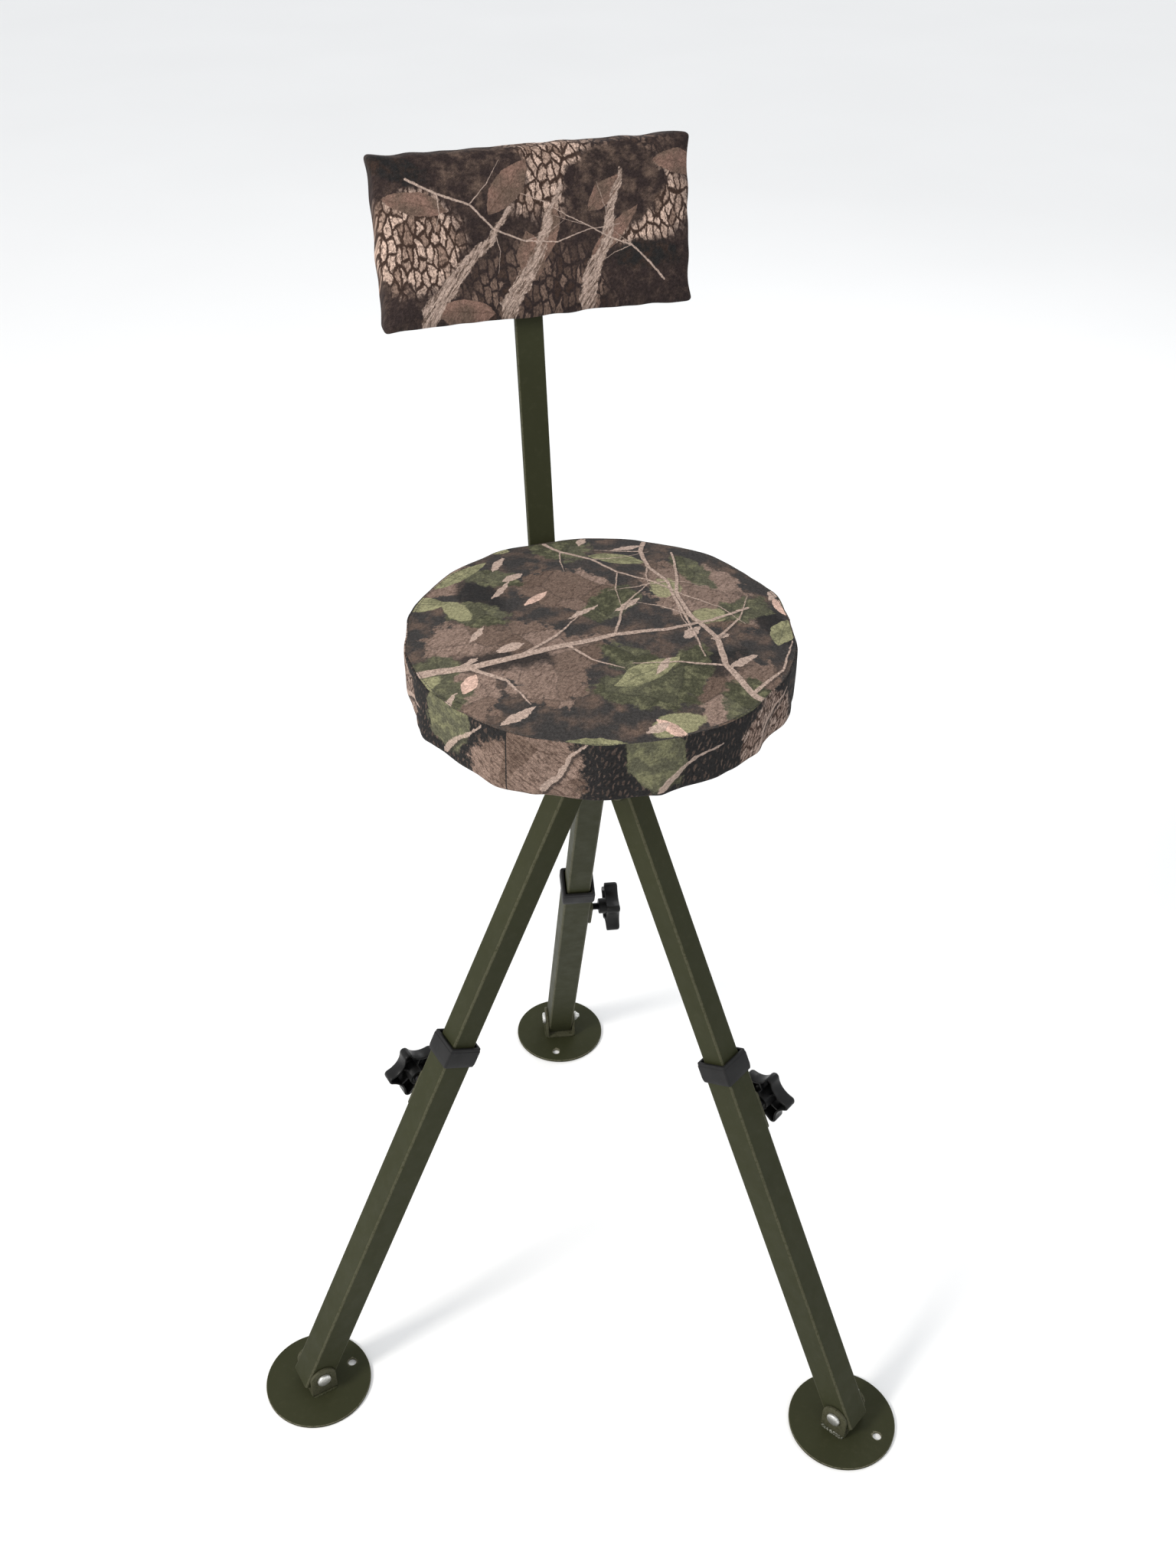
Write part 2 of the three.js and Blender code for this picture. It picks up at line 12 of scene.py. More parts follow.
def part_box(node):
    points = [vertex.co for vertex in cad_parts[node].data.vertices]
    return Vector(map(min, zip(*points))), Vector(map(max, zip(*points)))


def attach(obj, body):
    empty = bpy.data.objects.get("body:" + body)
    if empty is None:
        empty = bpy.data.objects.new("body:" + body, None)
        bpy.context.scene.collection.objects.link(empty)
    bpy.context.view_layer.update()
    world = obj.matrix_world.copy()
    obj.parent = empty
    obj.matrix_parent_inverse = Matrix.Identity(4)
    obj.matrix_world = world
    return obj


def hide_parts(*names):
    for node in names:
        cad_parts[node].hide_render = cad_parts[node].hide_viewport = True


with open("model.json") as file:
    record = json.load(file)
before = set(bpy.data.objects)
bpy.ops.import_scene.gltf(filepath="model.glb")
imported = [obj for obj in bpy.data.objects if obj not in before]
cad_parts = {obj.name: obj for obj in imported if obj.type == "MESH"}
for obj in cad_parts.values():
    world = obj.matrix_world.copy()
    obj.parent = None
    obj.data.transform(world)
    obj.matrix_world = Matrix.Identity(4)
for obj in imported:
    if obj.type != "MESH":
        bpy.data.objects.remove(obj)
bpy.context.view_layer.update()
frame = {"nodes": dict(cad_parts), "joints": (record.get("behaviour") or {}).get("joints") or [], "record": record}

MM = 0.001
LEGS = ("left", "right", "back")
JOINTS = {joint["name"]: joint for joint in frame["joints"]}


# ---- Places, all read from the frame ----
def axes_at(origin, y, z):
    """A local frame: its origin, its Y axis, and its Z axis made square to Y."""
    y = Vector(y).normalized()
    x = y.cross(Vector(z)).normalized()
    z = x.cross(y)
    matrix = Matrix((x, y, z)).transposed().to_4x4()
    matrix.translation = Vector(origin)
    return matrix


def middle(node):
    low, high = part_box(node)
    return (low + high) / 2


def extent(node, matrix):
    """A node's lowest and highest corners in a local frame."""
    inverse = matrix.inverted()
    points = np.array([inverse @ vertex.co for vertex in frame["nodes"][node].data.vertices])
    return Vector(points.min(0)), Vector(points.max(0))


def joint_place(name):
    return Vector(JOINTS[name]["pos_m"]), Vector(JOINTS[name]["axis"])


def upper_leg_frame(leg):
    """At the hub pivot, +Z up the leg and +Y along the fold axis."""
    pivot, fold_axis = joint_place(f"{leg}_leg_fold")
    down = Vector(JOINTS[f"{leg}_leg_slide"]["axis"])
    return axes_at(pivot, fold_axis, -down)


def lower_leg_frame(leg):
    """At the foot pivot, +Z up the leg and the knob on the -Y side."""
    pivot, _ = joint_place(f"{leg}_foot_tilt")
    _, outwards = joint_place(f"{leg}_knob_turn")
    down = Vector(JOINTS[f"{leg}_leg_slide"]["axis"])
    return axes_at(pivot, -outwards, -down)


def foot_frame(leg):
    pivot, _ = joint_place(f"{leg}_foot_tilt")
    _, outwards = joint_place(f"{leg}_knob_turn")
    return axes_at(pivot, -outwards, (0, 0, 1))


def knob_frame(leg):
    """On the stud's axis at the middle of the tube, +Z towards the knob."""
    centre, outwards = joint_place(f"{leg}_knob_turn")
    up = -Vector(JOINTS[f"{leg}_leg_slide"]["axis"])
    return axes_at(centre, up, outwards)


SWIVEL = joint_place("seat_swivel")[0]
SEAT_X = (middle("seat_screw_right") - middle("seat_screw_left")).normalized()
SEAT_Y = Vector((0, 0, 1)).cross(SEAT_X)
SEAT = axes_at((SWIVEL.x, SWIVEL.y, 0), SEAT_Y, (0, 0, 1))
POST_UP = (middle("back_screw_upper") - middle("back_screw_lower")).normalized()
PAD = axes_at(middle("back_cushion"), POST_UP.cross(SEAT_X), POST_UP)


# ---- Meshes ----
def mesh_object(name, bm, matrix=None, smooth_angle=35):
    if matrix is not None:
        bmesh.ops.transform(bm, matrix=matrix, verts=bm.verts)
    bmesh.ops.recalc_face_normals(bm, faces=bm.faces)
    mesh = bpy.data.meshes.new(name)
    bm.to_mesh(mesh)
    bm.free()
    for polygon in mesh.polygons:
        polygon.use_smooth = True
    mesh.set_sharp_from_angle(angle=math.radians(smooth_angle))
    obj = bpy.data.objects.new(name, mesh)
    bpy.context.scene.collection.objects.link(obj)
    return obj


def place(obj, body, material, slot, *nodes):
    """Gives a finished piece its material and its body, and hides the CAD nodes that it stands for."""
    obj.data.materials.clear()
    obj.data.materials.append(material)
    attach(obj, body)
    if nodes:
        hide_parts(*nodes)
    return obj


def skin(rings, closed_path=False):
    """A surface through rings of equal length, closed into a ring or capped; each ring is a closed loop."""
    bm = bmesh.new()
    loops = [[bm.verts.new(point) for point in ring] for ring in rings]
    pairs = list(zip(loops, loops[1:]))
    if closed_path:
        pairs.append((loops[-1], loops[0]))
    count = len(loops[0])
    for first, second in pairs:
        for i in range(count):
            j = (i + 1) % count
            bm.faces.new((first[i], first[j], second[j], second[i]))
    if not closed_path:
        bm.faces.new(list(reversed(loops[0])))
        bm.faces.new(loops[-1])
    return bm


def circle(radius, z, count):
    turn = 2 * math.pi / count
    return [(radius * math.cos(turn * i), radius * math.sin(turn * i), z) for i in range(count)]


def fillet(points, radii, closed=False):
    """An outline with its corners rounded, by one radius or one each; it shrinks where a side is short."""
    steps = 4
    path = [Vector(point) for point in points]
    if isinstance(radii, float):
        radii = [radii] * len(path)
    rounded = []
    for i, corner in enumerate(path):
        if radii[i] == 0 or (not closed and i in (0, len(path) - 1)):
            rounded.append(corner)
            continue
        to_before = path[i - 1] - corner
        to_after = path[(i + 1) % len(path)] - corner
        reach = min(radii[i], to_before.length * 0.45, to_after.length * 0.45)
        start = corner + to_before.normalized() * reach
        end = corner + to_after.normalized() * reach
        for step in range(steps + 1):
            t = step / steps
            rounded.append(start * (1 - t) ** 2 + corner * (2 * t * (1 - t)) + end * t ** 2)
    return rounded


def turned(profile, edge, count):
    """A solid of revolution about Z. A profile that starts off the axis closes on itself, as a ring."""
    if profile[0][0] > 1e-6:
        return skin([circle(r, z, count) for r, z in fillet(profile, edge, closed=True)], closed_path=True)
    outline = fillet(profile, edge)[1:-1]
    return skin([circle(r, z, count) for r, z in outline])


def rounded_square(width, depth, corner, z, shoulder=0.8 * MM, steps=5):
    """A loop round a rectangle with round corners, with a point just before and after each corner."""
    corner = min(corner, width / 2 * 0.98, depth / 2 * 0.98)
    points = []
    for quarter in range(4):
        sx = 1 if quarter in (0, 3) else -1
        sy = 1 if quarter in (0, 1) else -1
        cx = sx * (width / 2 - corner)
        cy = sy * (depth / 2 - corner)
        start = quarter * math.pi / 2
        first = Vector((math.cos(start), math.sin(start)))
        last = Vector((math.cos(start + math.pi / 2), math.sin(start + math.pi / 2)))
        before = corner * first - shoulder * last
        after = corner * last - shoulder * first
        points.append((cx + before.x, cy + before.y, z))
        for step in range(steps + 1):
            angle = start + math.pi / 2 * step / steps
            points.append((cx + corner * math.cos(angle), cy + corner * math.sin(angle), z))
        points.append((cx + after.x, cy + after.y, z))
    return points


def square_tube(width, bore, low, high, corner):
    """A hollow square tube with slightly rounded cut ends."""
    edge = 0.35 * MM
    wall = (width - bore) / 2
    lengths = [low + edge, low + 4 * edge, low + 30 * MM, high - 30 * MM, high - 4 * edge, high - edge]
    section = [(0, z) for z in lengths]
    section += [(edge, high), (wall - edge, high),
               (wall, high - edge), (wall, low + edge), (wall - edge, low), (edge, low)]
    rings = [
        rounded_square(width - 2 * inset, width - 2 * inset, max(corner - inset, 0.4 * MM), z)
        for inset, z in section
    ]
    return skin(rings, closed_path=True)


def plate(width, depth, low, high, corner, edge):
    """A flat plate with round corners and eased edges."""
    section = [(edge, low), (0.3 * edge, low + 0.3 * edge), (0, low + edge),
               (0, high - edge), (0.3 * edge, high - 0.3 * edge), (edge, high)]
    return skin([
        rounded_square(width - 2 * inset, depth - 2 * inset, max(corner - inset, 0.3 * MM), z)
        for inset, z in section
    ])


def boolean(target, tool, operation="DIFFERENCE"):
    """Applies a boolean to target and removes the tool."""
    modifier = target.modifiers.new("cut", "BOOLEAN")
    modifier.object = tool
    modifier.operation = operation
    modifier.solver = "EXACT"
    apply_modifiers(target)
    bpy.data.objects.remove(tool)
    return target


def apply_modifiers(obj):
    bpy.context.view_layer.update()
    evaluated = obj.evaluated_get(bpy.context.evaluated_depsgraph_get())
    mesh = bpy.data.meshes.new_from_object(evaluated)
    obj.modifiers.clear()
    old = obj.data
    obj.data = mesh
    bpy.data.meshes.remove(old)
    return obj


def ease(obj, width, segments=2, angle=35):
    """Rounds an object's sharp edges."""
    bevel = obj.modifiers.new("ease", "BEVEL")
    bevel.width = width
    bevel.segments = segments
    bevel.limit_method = "ANGLE"
    bevel.angle_limit = math.radians(angle)
    bevel.harden_normals = False
    apply_modifiers(obj)
    for polygon in obj.data.polygons:
        polygon.use_smooth = True
    obj.data.set_sharp_from_angle(angle=math.radians(angle))
    return obj


def refined(node, name, width):
    """A copy of a CAD node's mesh with its coplanar faces joined and its edges eased."""
    bm = bmesh.new()
    bm.from_mesh(frame["nodes"][node].data)
    bmesh.ops.remove_doubles(bm, verts=bm.verts, dist=1e-6)
    bmesh.ops.dissolve_limit(bm, angle_limit=math.radians(1), verts=bm.verts, edges=bm.edges)
    return ease(mesh_object(name, bm), width)


# ---- Materials ----
class Nodes:
    """Short calls for building a node material."""

    def __init__(self, tree):
        self.tree = tree

    def add(self, kind, **settings):
        node = self.tree.nodes.new(kind)
        for name, value in settings.items():
            setattr(node, name, value)
        return node

    def link(self, source, target):
        self.tree.links.new(source, target)

    def feed(self, socket, value):
        """Links a socket, or sets it to a plain value."""
        if isinstance(value, bpy.types.NodeSocket):
            self.link(value, socket)
        else:
            socket.default_value = value

    def math(self, operation, a, b=0.0, c=0.0):
        node = self.add("ShaderNodeMath", operation=operation)
        for socket, value in zip(node.inputs, (a, b, c)):
            self.feed(socket, value)
        return node.outputs[0]

    def vector(self, operation, a, b):
        node = self.add("ShaderNodeVectorMath", operation=operation)
        self.feed(node.inputs[0], a)
        self.feed(node.inputs[1], b)
        return node.outputs["Value" if operation == "DOT_PRODUCT" else "Vector"]

    def scale(self, vector, factor):
        node = self.add("ShaderNodeVectorMath", operation="SCALE")
        self.feed(node.inputs[0], vector)
        self.feed(node.inputs["Scale"], factor)
        return node.outputs["Vector"]

    def noise(self, vector, scale, detail=3.0, roughness=0.5, output="Fac"):
        node = self.add("ShaderNodeTexNoise")
        self.feed(node.inputs["Vector"], vector)
        self.feed(node.inputs["Scale"], scale)
        node.inputs["Detail"].default_value = detail
        node.inputs["Roughness"].default_value = roughness
        return node.outputs[output]

    def smooth(self, value, low, high, to_low=0.0, to_high=1.0):
        node = self.add("ShaderNodeMapRange", interpolation_type="SMOOTHSTEP")
        self.feed(node.inputs["Value"], value)
        self.feed(node.inputs["From Min"], low)
        self.feed(node.inputs["From Max"], high)
        node.inputs["To Min"].default_value = to_low
        node.inputs["To Max"].default_value = to_high
        return node.outputs["Result"]

    def mix(self, factor, a, b):
        node = self.add("ShaderNodeMix", data_type="RGBA")
        self.feed(node.inputs["Factor"], factor)
        colours = [s for s in node.inputs if s.type == "RGBA"]
        for socket, value in zip(colours, (a, b)):
            self.feed(socket, rgba(value) if isinstance(value, tuple) else value)
        return [s for s in node.outputs if s.type == "RGBA"][0]

    def group(self, tree, *values):
        node = self.add("ShaderNodeGroup", node_tree=tree)
        for socket, value in zip(node.inputs, values):
            self.feed(socket, value)
        return list(node.outputs)

    def bump(self, height, strength, distance):
        node = self.add("ShaderNodeBump")
        node.inputs["Strength"].default_value = strength
        node.inputs["Distance"].default_value = distance
        self.feed(node.inputs["Height"], height)
        return node.outputs["Normal"]


def rgba(colour):
    return (*colour, 1.0) if len(colour) == 3 else colour


def new_material(name):
    """A material, its nodes, its shader and the object coordinates."""
    material = bpy.data.materials.new(name)
    material.use_nodes = True
    nodes = Nodes(material.node_tree)
    shader = material.node_tree.nodes["Principled BSDF"]
    coordinates = nodes.add("ShaderNodeTexCoord").outputs["Object"]
    return material, nodes, shader, coordinates


def painted_metal(name, colour, wear_and_highlight=0.13, bare=(0.27, 0.25, 0.18)):
    """Satin paint: orange peel, dust and slight fading, with edges lighter where "edge" is set: worn paint, and a
    painted highlight along the edges.
    """
    material, nodes, shader, where = new_material(name)
    fade = nodes.noise(where, 9.0, 4.0)
    streak = nodes.noise(nodes.vector("MULTIPLY", where, (1, 1, 0.12)), 55.0, 4.0, 0.6)
    dust = nodes.smooth(nodes.noise(where, 160.0, 5.0, 0.7), 0.5, 0.72)
    dark = tuple(0.8 * c for c in colour)
    light = tuple(1.22 * c + 0.002 for c in colour)
    base = nodes.mix(fade, dark, light)
    base = nodes.mix(nodes.math("MULTIPLY", streak, 0.16), base, tuple(0.62 * c for c in colour))
    base = nodes.mix(nodes.math("MULTIPLY", dust, 0.025), base, (0.2, 0.18, 0.12))
    # Edges are drawn towards the bare colour: partly worn paint, partly a painted highlight along the edges.
    edge = nodes.add("ShaderNodeAttribute", attribute_name="edge").outputs["Fac"]
    ragged = nodes.noise(where, 420.0, 5.0, 0.7)
    worn_and_highlit = nodes.smooth(nodes.math("ADD", nodes.math("MULTIPLY", edge, 0.62), ragged), 0.92, 1.16)
    worn_and_highlit = nodes.math("MULTIPLY", worn_and_highlit, wear_and_highlight)
    base = nodes.mix(worn_and_highlit, base, bare)
    nodes.link(base, shader.inputs["Base Color"])
    rough = nodes.smooth(nodes.noise(where, 70.0, 4.0), 0.2, 0.8, 0.52, 0.68)
    nodes.link(rough, shader.inputs["Roughness"])
    shader.inputs["Metallic"].default_value = 0.0
    shader.inputs["Specular IOR Level"].default_value = 0.1
    peel = nodes.noise(where, 900.0, 2.0)
    nodes.link(nodes.bump(peel, 0.18, 0.00025), shader.inputs["Normal"])
    return material


def moulded_plastic(name, colour, roughness):
    """Moulded plastic with a fine sparked grain, scuffed lighter here and there."""
    material, nodes, shader, where = new_material(name)
    scuff = nodes.smooth(nodes.noise(where, 120.0, 6.0, 0.7), 0.52, 0.75)
    base = nodes.mix(nodes.math("MULTIPLY", scuff, 0.3), colour, tuple(2.6 * c + 0.008 for c in colour))
    nodes.link(base, shader.inputs["Base Color"])
    rough = nodes.smooth(nodes.noise(where, 60.0, 4.0), 0.25, 0.75, roughness - 0.07, roughness + 0.1)
    nodes.link(rough, shader.inputs["Roughness"])
    shader.inputs["Specular IOR Level"].default_value = 0.18
    nodes.link(nodes.bump(nodes.noise(where, 1400.0, 2.0), 0.3, 0.0002), shader.inputs["Normal"])
    return material


def plated_steel(name, colour, roughness):
    """Bright or blackened steel with a turned, faintly mottled finish."""
    material, nodes, shader, where = new_material(name)
    mottle = nodes.noise(where, 500.0, 4.0, 0.6)
    base = nodes.mix(nodes.smooth(mottle, 0.35, 0.7), tuple(0.72 * c for c in colour), colour)
    nodes.link(base, shader.inputs["Base Color"])
    rough = nodes.smooth(mottle, 0.3, 0.7, roughness + 0.12, roughness - 0.05)
    nodes.link(rough, shader.inputs["Roughness"])
    shader.inputs["Metallic"].default_value = 1.0
    nodes.link(nodes.bump(nodes.noise(where, 1800.0, 2.0), 0.12, 0.0001), shader.inputs["Normal"])
    return material


def plywood_material():
    """Bare plywood: long grain on the faces and thin plies on the edges."""
    material, nodes, shader, where = new_material("bare_plywood")
    along = nodes.vector("MULTIPLY", where, (3.0, 60.0, 60.0))
    grain = nodes.noise(along, 3.0, 6.0, 0.65)
    base = nodes.mix(nodes.smooth(grain, 0.35, 0.7), (0.5, 0.33, 0.17), (0.31, 0.18, 0.08))
    height = nodes.add("ShaderNodeSeparateXYZ")
    nodes.link(where, height.inputs[0])
    ply = nodes.math("SINE", nodes.math("MULTIPLY", height.outputs["Z"], 4200.0))
    base = nodes.mix(nodes.smooth(ply, 0.2, 0.8, 0.0, 0.25), base, (0.2, 0.11, 0.05))
    nodes.link(base, shader.inputs["Base Color"])
    shader.inputs["Roughness"].default_value = 0.78
    nodes.link(nodes.bump(grain, 0.3, 0.0004), shader.inputs["Normal"])
    return material


OLIVE_COLOUR = (0.027, 0.0285, 0.0125)
OLIVE = painted_metal("olive_paint", OLIVE_COLOUR)
# Stronger lighter edges for the foot discs: worn paint and a painted highlight where the rims catch the light.
RUBBED_AND_HIGHLIT = painted_metal("worn_and_highlit_olive_paint", OLIVE_COLOUR, 0.45)
CHIPPED = painted_metal("chipped_olive_paint", OLIVE_COLOUR, 0.9, (0.42, 0.42, 0.38))
COLLAR_PLASTIC = moulded_plastic("collar_plastic", (0.011, 0.0108, 0.0112), 0.55)
KNOB_PLASTIC = moulded_plastic("knob_plastic", (0.008, 0.008, 0.008), 0.34)
NYLON = moulded_plastic("natural_nylon", (0.6, 0.58, 0.52), 0.5)
ZINC = plated_steel("bright_zinc", (0.74, 0.74, 0.71), 0.42)
BLACK_STEEL = plated_steel("black_steel", (0.035, 0.034, 0.036), 0.4)
PLYWOOD = plywood_material()


# ---- Fasteners ----
ROUND = 72  # points round a fastener


def hexagon(flats, z, limit):
    """A hexagon's loop, cut to a circle where its corners are chamfered."""
    points = []
    for i in range(ROUND):
        angle = 2 * math.pi * i / ROUND
        across = (angle + math.pi / 6) % (math.pi / 3) - math.pi / 6
        radius = min(flats / 2 / math.cos(across), limit)
        points.append((radius * math.cos(angle), radius * math.sin(angle), z))
    return points


def hex_solid(flats, low, high):
    """The rings of a hexagonal head or nut, with its corners chamfered at both ends."""
    chamfer = 0.54 * MM
    corner = flats / math.sqrt(3)
    face = flats / 2 * 0.97
    return [
        circle(face * 0.6, low, ROUND),
        hexagon(flats, low, face),
        hexagon(flats, low + chamfer, corner),
        hexagon(flats, high - chamfer, corner),
        hexagon(flats, high, face),
        circle(face * 0.6, high, ROUND),
    ]


def hex_bolt(radius, flats, head, length):
    """A hex bolt along +Z with its head below z = 0 and a chamfered tip."""
    rings = hex_solid(flats, -head, 0)
    return skin(rings[:-1] + shank(radius, length))


def locking_nut(radius, flats, height):
    """A hex nut with the round collar of its nylon insert; its seat is at z = 0."""
    body = height * 0.68
    collar = flats / 2 * 0.86
    bore = radius * 1.12
    section = [(collar, body + 0.1 * MM), (collar, height - 1.0 * MM), (collar - 0.5 * MM, height - 0.2 * MM),
               (collar - 1.2 * MM, height), (bore, height - 0.3 * MM), (bore, 0)]
    rings = hex_solid(flats, 0, body)[1:5] + [circle(r, z, ROUND) for r, z in section]
    return skin(rings, closed_path=True)


def shank(radius, length):
    """The rings of a bolt's shank along +Z, from under its head to its chamfered tip."""
    section = [(radius * 1.1, 0), (radius, 0.3 * MM), (radius, length - 0.8 * MM), (radius * 0.75, length)]
    return [circle(r, z, ROUND) for r, z in section]


def domed_bolt(radius, head_radius, head, length, socket=0.0):
    """A bolt along +Z with a domed head below z = 0, and a shallow hexagon socket if one is asked for."""
    dome = [(head_radius * math.sin(a), -head * 0.35 - head * 0.65 * math.sqrt(max(0.0, math.cos(a))))
            for a in (math.pi / 2 * step / 10 for step in range(1, 11))]
    rings = []
    if socket:
        dome = [(r, z) for r, z in dome if r > socket * 0.62]
        rings = [hexagon(socket * 0.96, -head * 0.5, socket), hexagon(socket, -head * 0.52, socket),
                 hexagon(socket * 1.02, dome[0][1], socket)]
    dome += [(head_radius, -0.2 * MM), (head_radius - 0.3 * MM, 0)]
    rings += [circle(r, z, ROUND) for r, z in dome]
    return skin(rings + shank(radius, length))


def threaded_rod(radius, low, high, pitch):
    """A rod whose thread is drawn as close rings."""
    count = 32
    root = radius - 0.55 * pitch
    profile = [(root, low)]
    turns = int((high - low) / pitch)
    for i in range(turns):
        z = low + pitch * (i + 0.5)
        profile += [(radius, z - 0.1 * pitch), (radius, z + 0.1 * pitch), (root, z + 0.5 * pitch)]
    return skin([circle(r, z, count) for r, z in profile] + [circle(root, high, count)])


def clevis_frame(leg):
    """At the hub pivot, upright, with +Y towards the bolt's head."""
    pivot, fold_axis = joint_place(f"{leg}_leg_fold")
    head_side = middle(f"{leg}_hub_bolt") - middle(f"{leg}_hub_nut")
    return axes_at(pivot, fold_axis if fold_axis.dot(head_side) > 0 else -fold_axis, (0, 0, 1))


# Turns what is built along +Z so that it runs along -Y.
ACROSS = Matrix.Rotation(math.radians(90), 4, "X")
UPSIDE_DOWN = Matrix.Rotation(math.radians(180), 4, "X")
TUBE_WALL = 1.5 * MM
TUBE_CORNER = 2.5 * MM
SHEET = 3 * MM
BUTTON_HEAD = 4 * MM
BUTTON_EXTRA = 1.2 * MM  # how far a foot bolt's head reaches past the CAD's
PEG_HOLE = 4.5 * MM
HEX_HEAD = 5 * MM
M6_BOLT = 3 * MM
M6_HOLE = 3.3 * MM
M8_BOLT = 4 * MM
M8_HOLE = 4.3 * MM


def moved(x=0.0, y=0.0, z=0.0):
    return Matrix.Translation((x, y, z))


def drill(obj, radius, reach, matrix):
    """Cuts a round hole along the matrix's Z axis."""
    tool = mesh_object("drill", skin([circle(radius, -reach, 40), circle(radius, reach, 40)]), matrix)
    return boolean(obj, tool)


def mark_edges(obj):
    """Stores how sharply the surface turns outwards at each point, from 0 to 1, for the worn paint and the painted
    highlight along edges.
    """
    low = 5
    high = 16
    bm = bmesh.new()
    bm.from_mesh(obj.data)
    values = []
    for vertex in bm.verts:
        turns = [edge.calc_face_angle_signed(0.0) for edge in vertex.link_edges]
        sharpest = math.degrees(max(turns, default=0.0))
        values.append(min(max((sharpest - low) / (high - low), 0.0), 1.0))
    bm.free()
    obj.data.attributes.new("edge", "FLOAT", "POINT").data.foreach_set("value", values)
    return obj


def painted(obj, body, *nodes):
    return place(mark_edges(obj), body, OLIVE, "olive_paint", *nodes)


def prism(outline, low, high):
    """A closed outline in X and Y, raised along Z."""
    return skin([[(x, y, low) for x, y in outline], [(x, y, high) for x, y in outline]])


def u_bracket(name, inside, width, web_low, bore, matrix):
    """A U of sheet folded from one strip: a web at the bottom, round bends and two round-topped ears."""
    outer = inside / 2 + SHEET
    inner = inside / 2
    top = width
    section = [(-outer, top), (-outer, web_low), (outer, web_low), (outer, top),
               (inner, top), (inner, web_low + SHEET), (-inner, web_low + SHEET), (-inner, top)]
    bends = [0, 4 * MM, 4 * MM, 0, 0, 1 * MM, 1 * MM, 0]
    strip = prism(fillet(section, bends, closed=True), -width, width)
    # The section is drawn in X and Y: this takes its X to Y, its Y to Z and its Z to X.
    turn = Matrix(((0, 0, 1, 0), (1, 0, 0, 0), (0, 1, 0, 0), (0, 0, 0, 1)))
    bracket = mesh_object(name, strip, turn)
    radius = width / 2
    arch = [(radius * math.cos(a), radius * math.sin(a)) for a in (math.pi * i / 20 for i in range(21))]
    outline = [(radius, web_low - 1 * MM), *arch, (-radius, web_low - 1 * MM)]
    stamp = mesh_object("stamp", prism(outline, -inside, inside), ACROSS)
    boolean(bracket, stamp, "INTERSECT")
    drill(bracket, bore, inside, ACROSS)
    ease(bracket, 0.45 * MM)
    bracket.data.transform(matrix)
    return bracket


def weld(name, path, radius, matrix, body, closed=False, seed=0, paint=OLIVE):
    """A weld bead along a path: a rippled, uneven round of metal."""
    points = [matrix @ Vector(point) for point in path]
    rings = []
    count = len(points)
    for i, point in enumerate(points):
        ahead = points[(i + 1) % count] if closed or i < count - 1 else point
        behind = points[i - 1] if closed or i > 0 else point
        along = (ahead - behind).normalized()
        side = along.orthogonal().normalized()
        up = along.cross(side)
        ripple = 1 + 0.16 * math.sin(i * 2.1 + seed) + 0.22 * noise.noise(point * 300)
        end = 1.0 if closed else min(1.0, 0.45 + 0.4 * min(i, count - 1 - i))
        r = radius * ripple * end
        turn = 2 * math.pi / 10
        rings.append([point + r * (math.cos(turn * k) * side + math.sin(turn * k) * up) for k in range(10)])
    bead = mesh_object(name, skin(rings, closed_path=closed), smooth_angle=70)
    # The bead takes the lighter edge tone all over: worn paint and a painted highlight.
    values = [0.75] * len(bead.data.vertices)
    bead.data.attributes.new("edge", "FLOAT", "POINT").data.foreach_set("value", values)
    return place(bead, body, paint, "olive_paint")


def line(start, end):
    """Evenly spaced points from start to end."""
    step = 1.1 * MM
    start = Vector(start)
    end = Vector(end)
    count = max(3, round((end - start).length / step))
    return [start.lerp(end, i / count) for i in range(count + 1)]


# ---- Legs ----
def tube_piece(leg, half, local):
    """One square leg tube, without its bolt holes, and the name of its CAD node."""
    node = f"{leg}_{half}_tube"
    low, high = extent(node, local)
    width = high.x - low.x
    tube = square_tube(width, width - 2 * TUBE_WALL, low.z, high.z, TUBE_CORNER)
    return mesh_object(f"{node}_wall", tube, local), node


def make_upper_leg(leg):
    local = upper_leg_frame(leg)
    tube, node = tube_piece(leg, "upper", local)
    drill(tube, M8_HOLE, 30 * MM, local @ ACROSS)
    painted(tube, f"{leg}_upper_leg", node)


def make_lower_leg(leg):
    local = lower_leg_frame(leg)
    body = f"{leg}_lower_leg"
    stud = knob_frame(leg)
    tube, node = tube_piece(leg, "lower", local)
    drill(tube, M6_HOLE, 30 * MM, local @ ACROSS)
    drill(tube, M8_HOLE, 10 * MM, stud @ moved(z=15 * MM))
    painted(tube, body, node)
    make_collar(leg, local, body)
    make_boss(leg, stud, body)


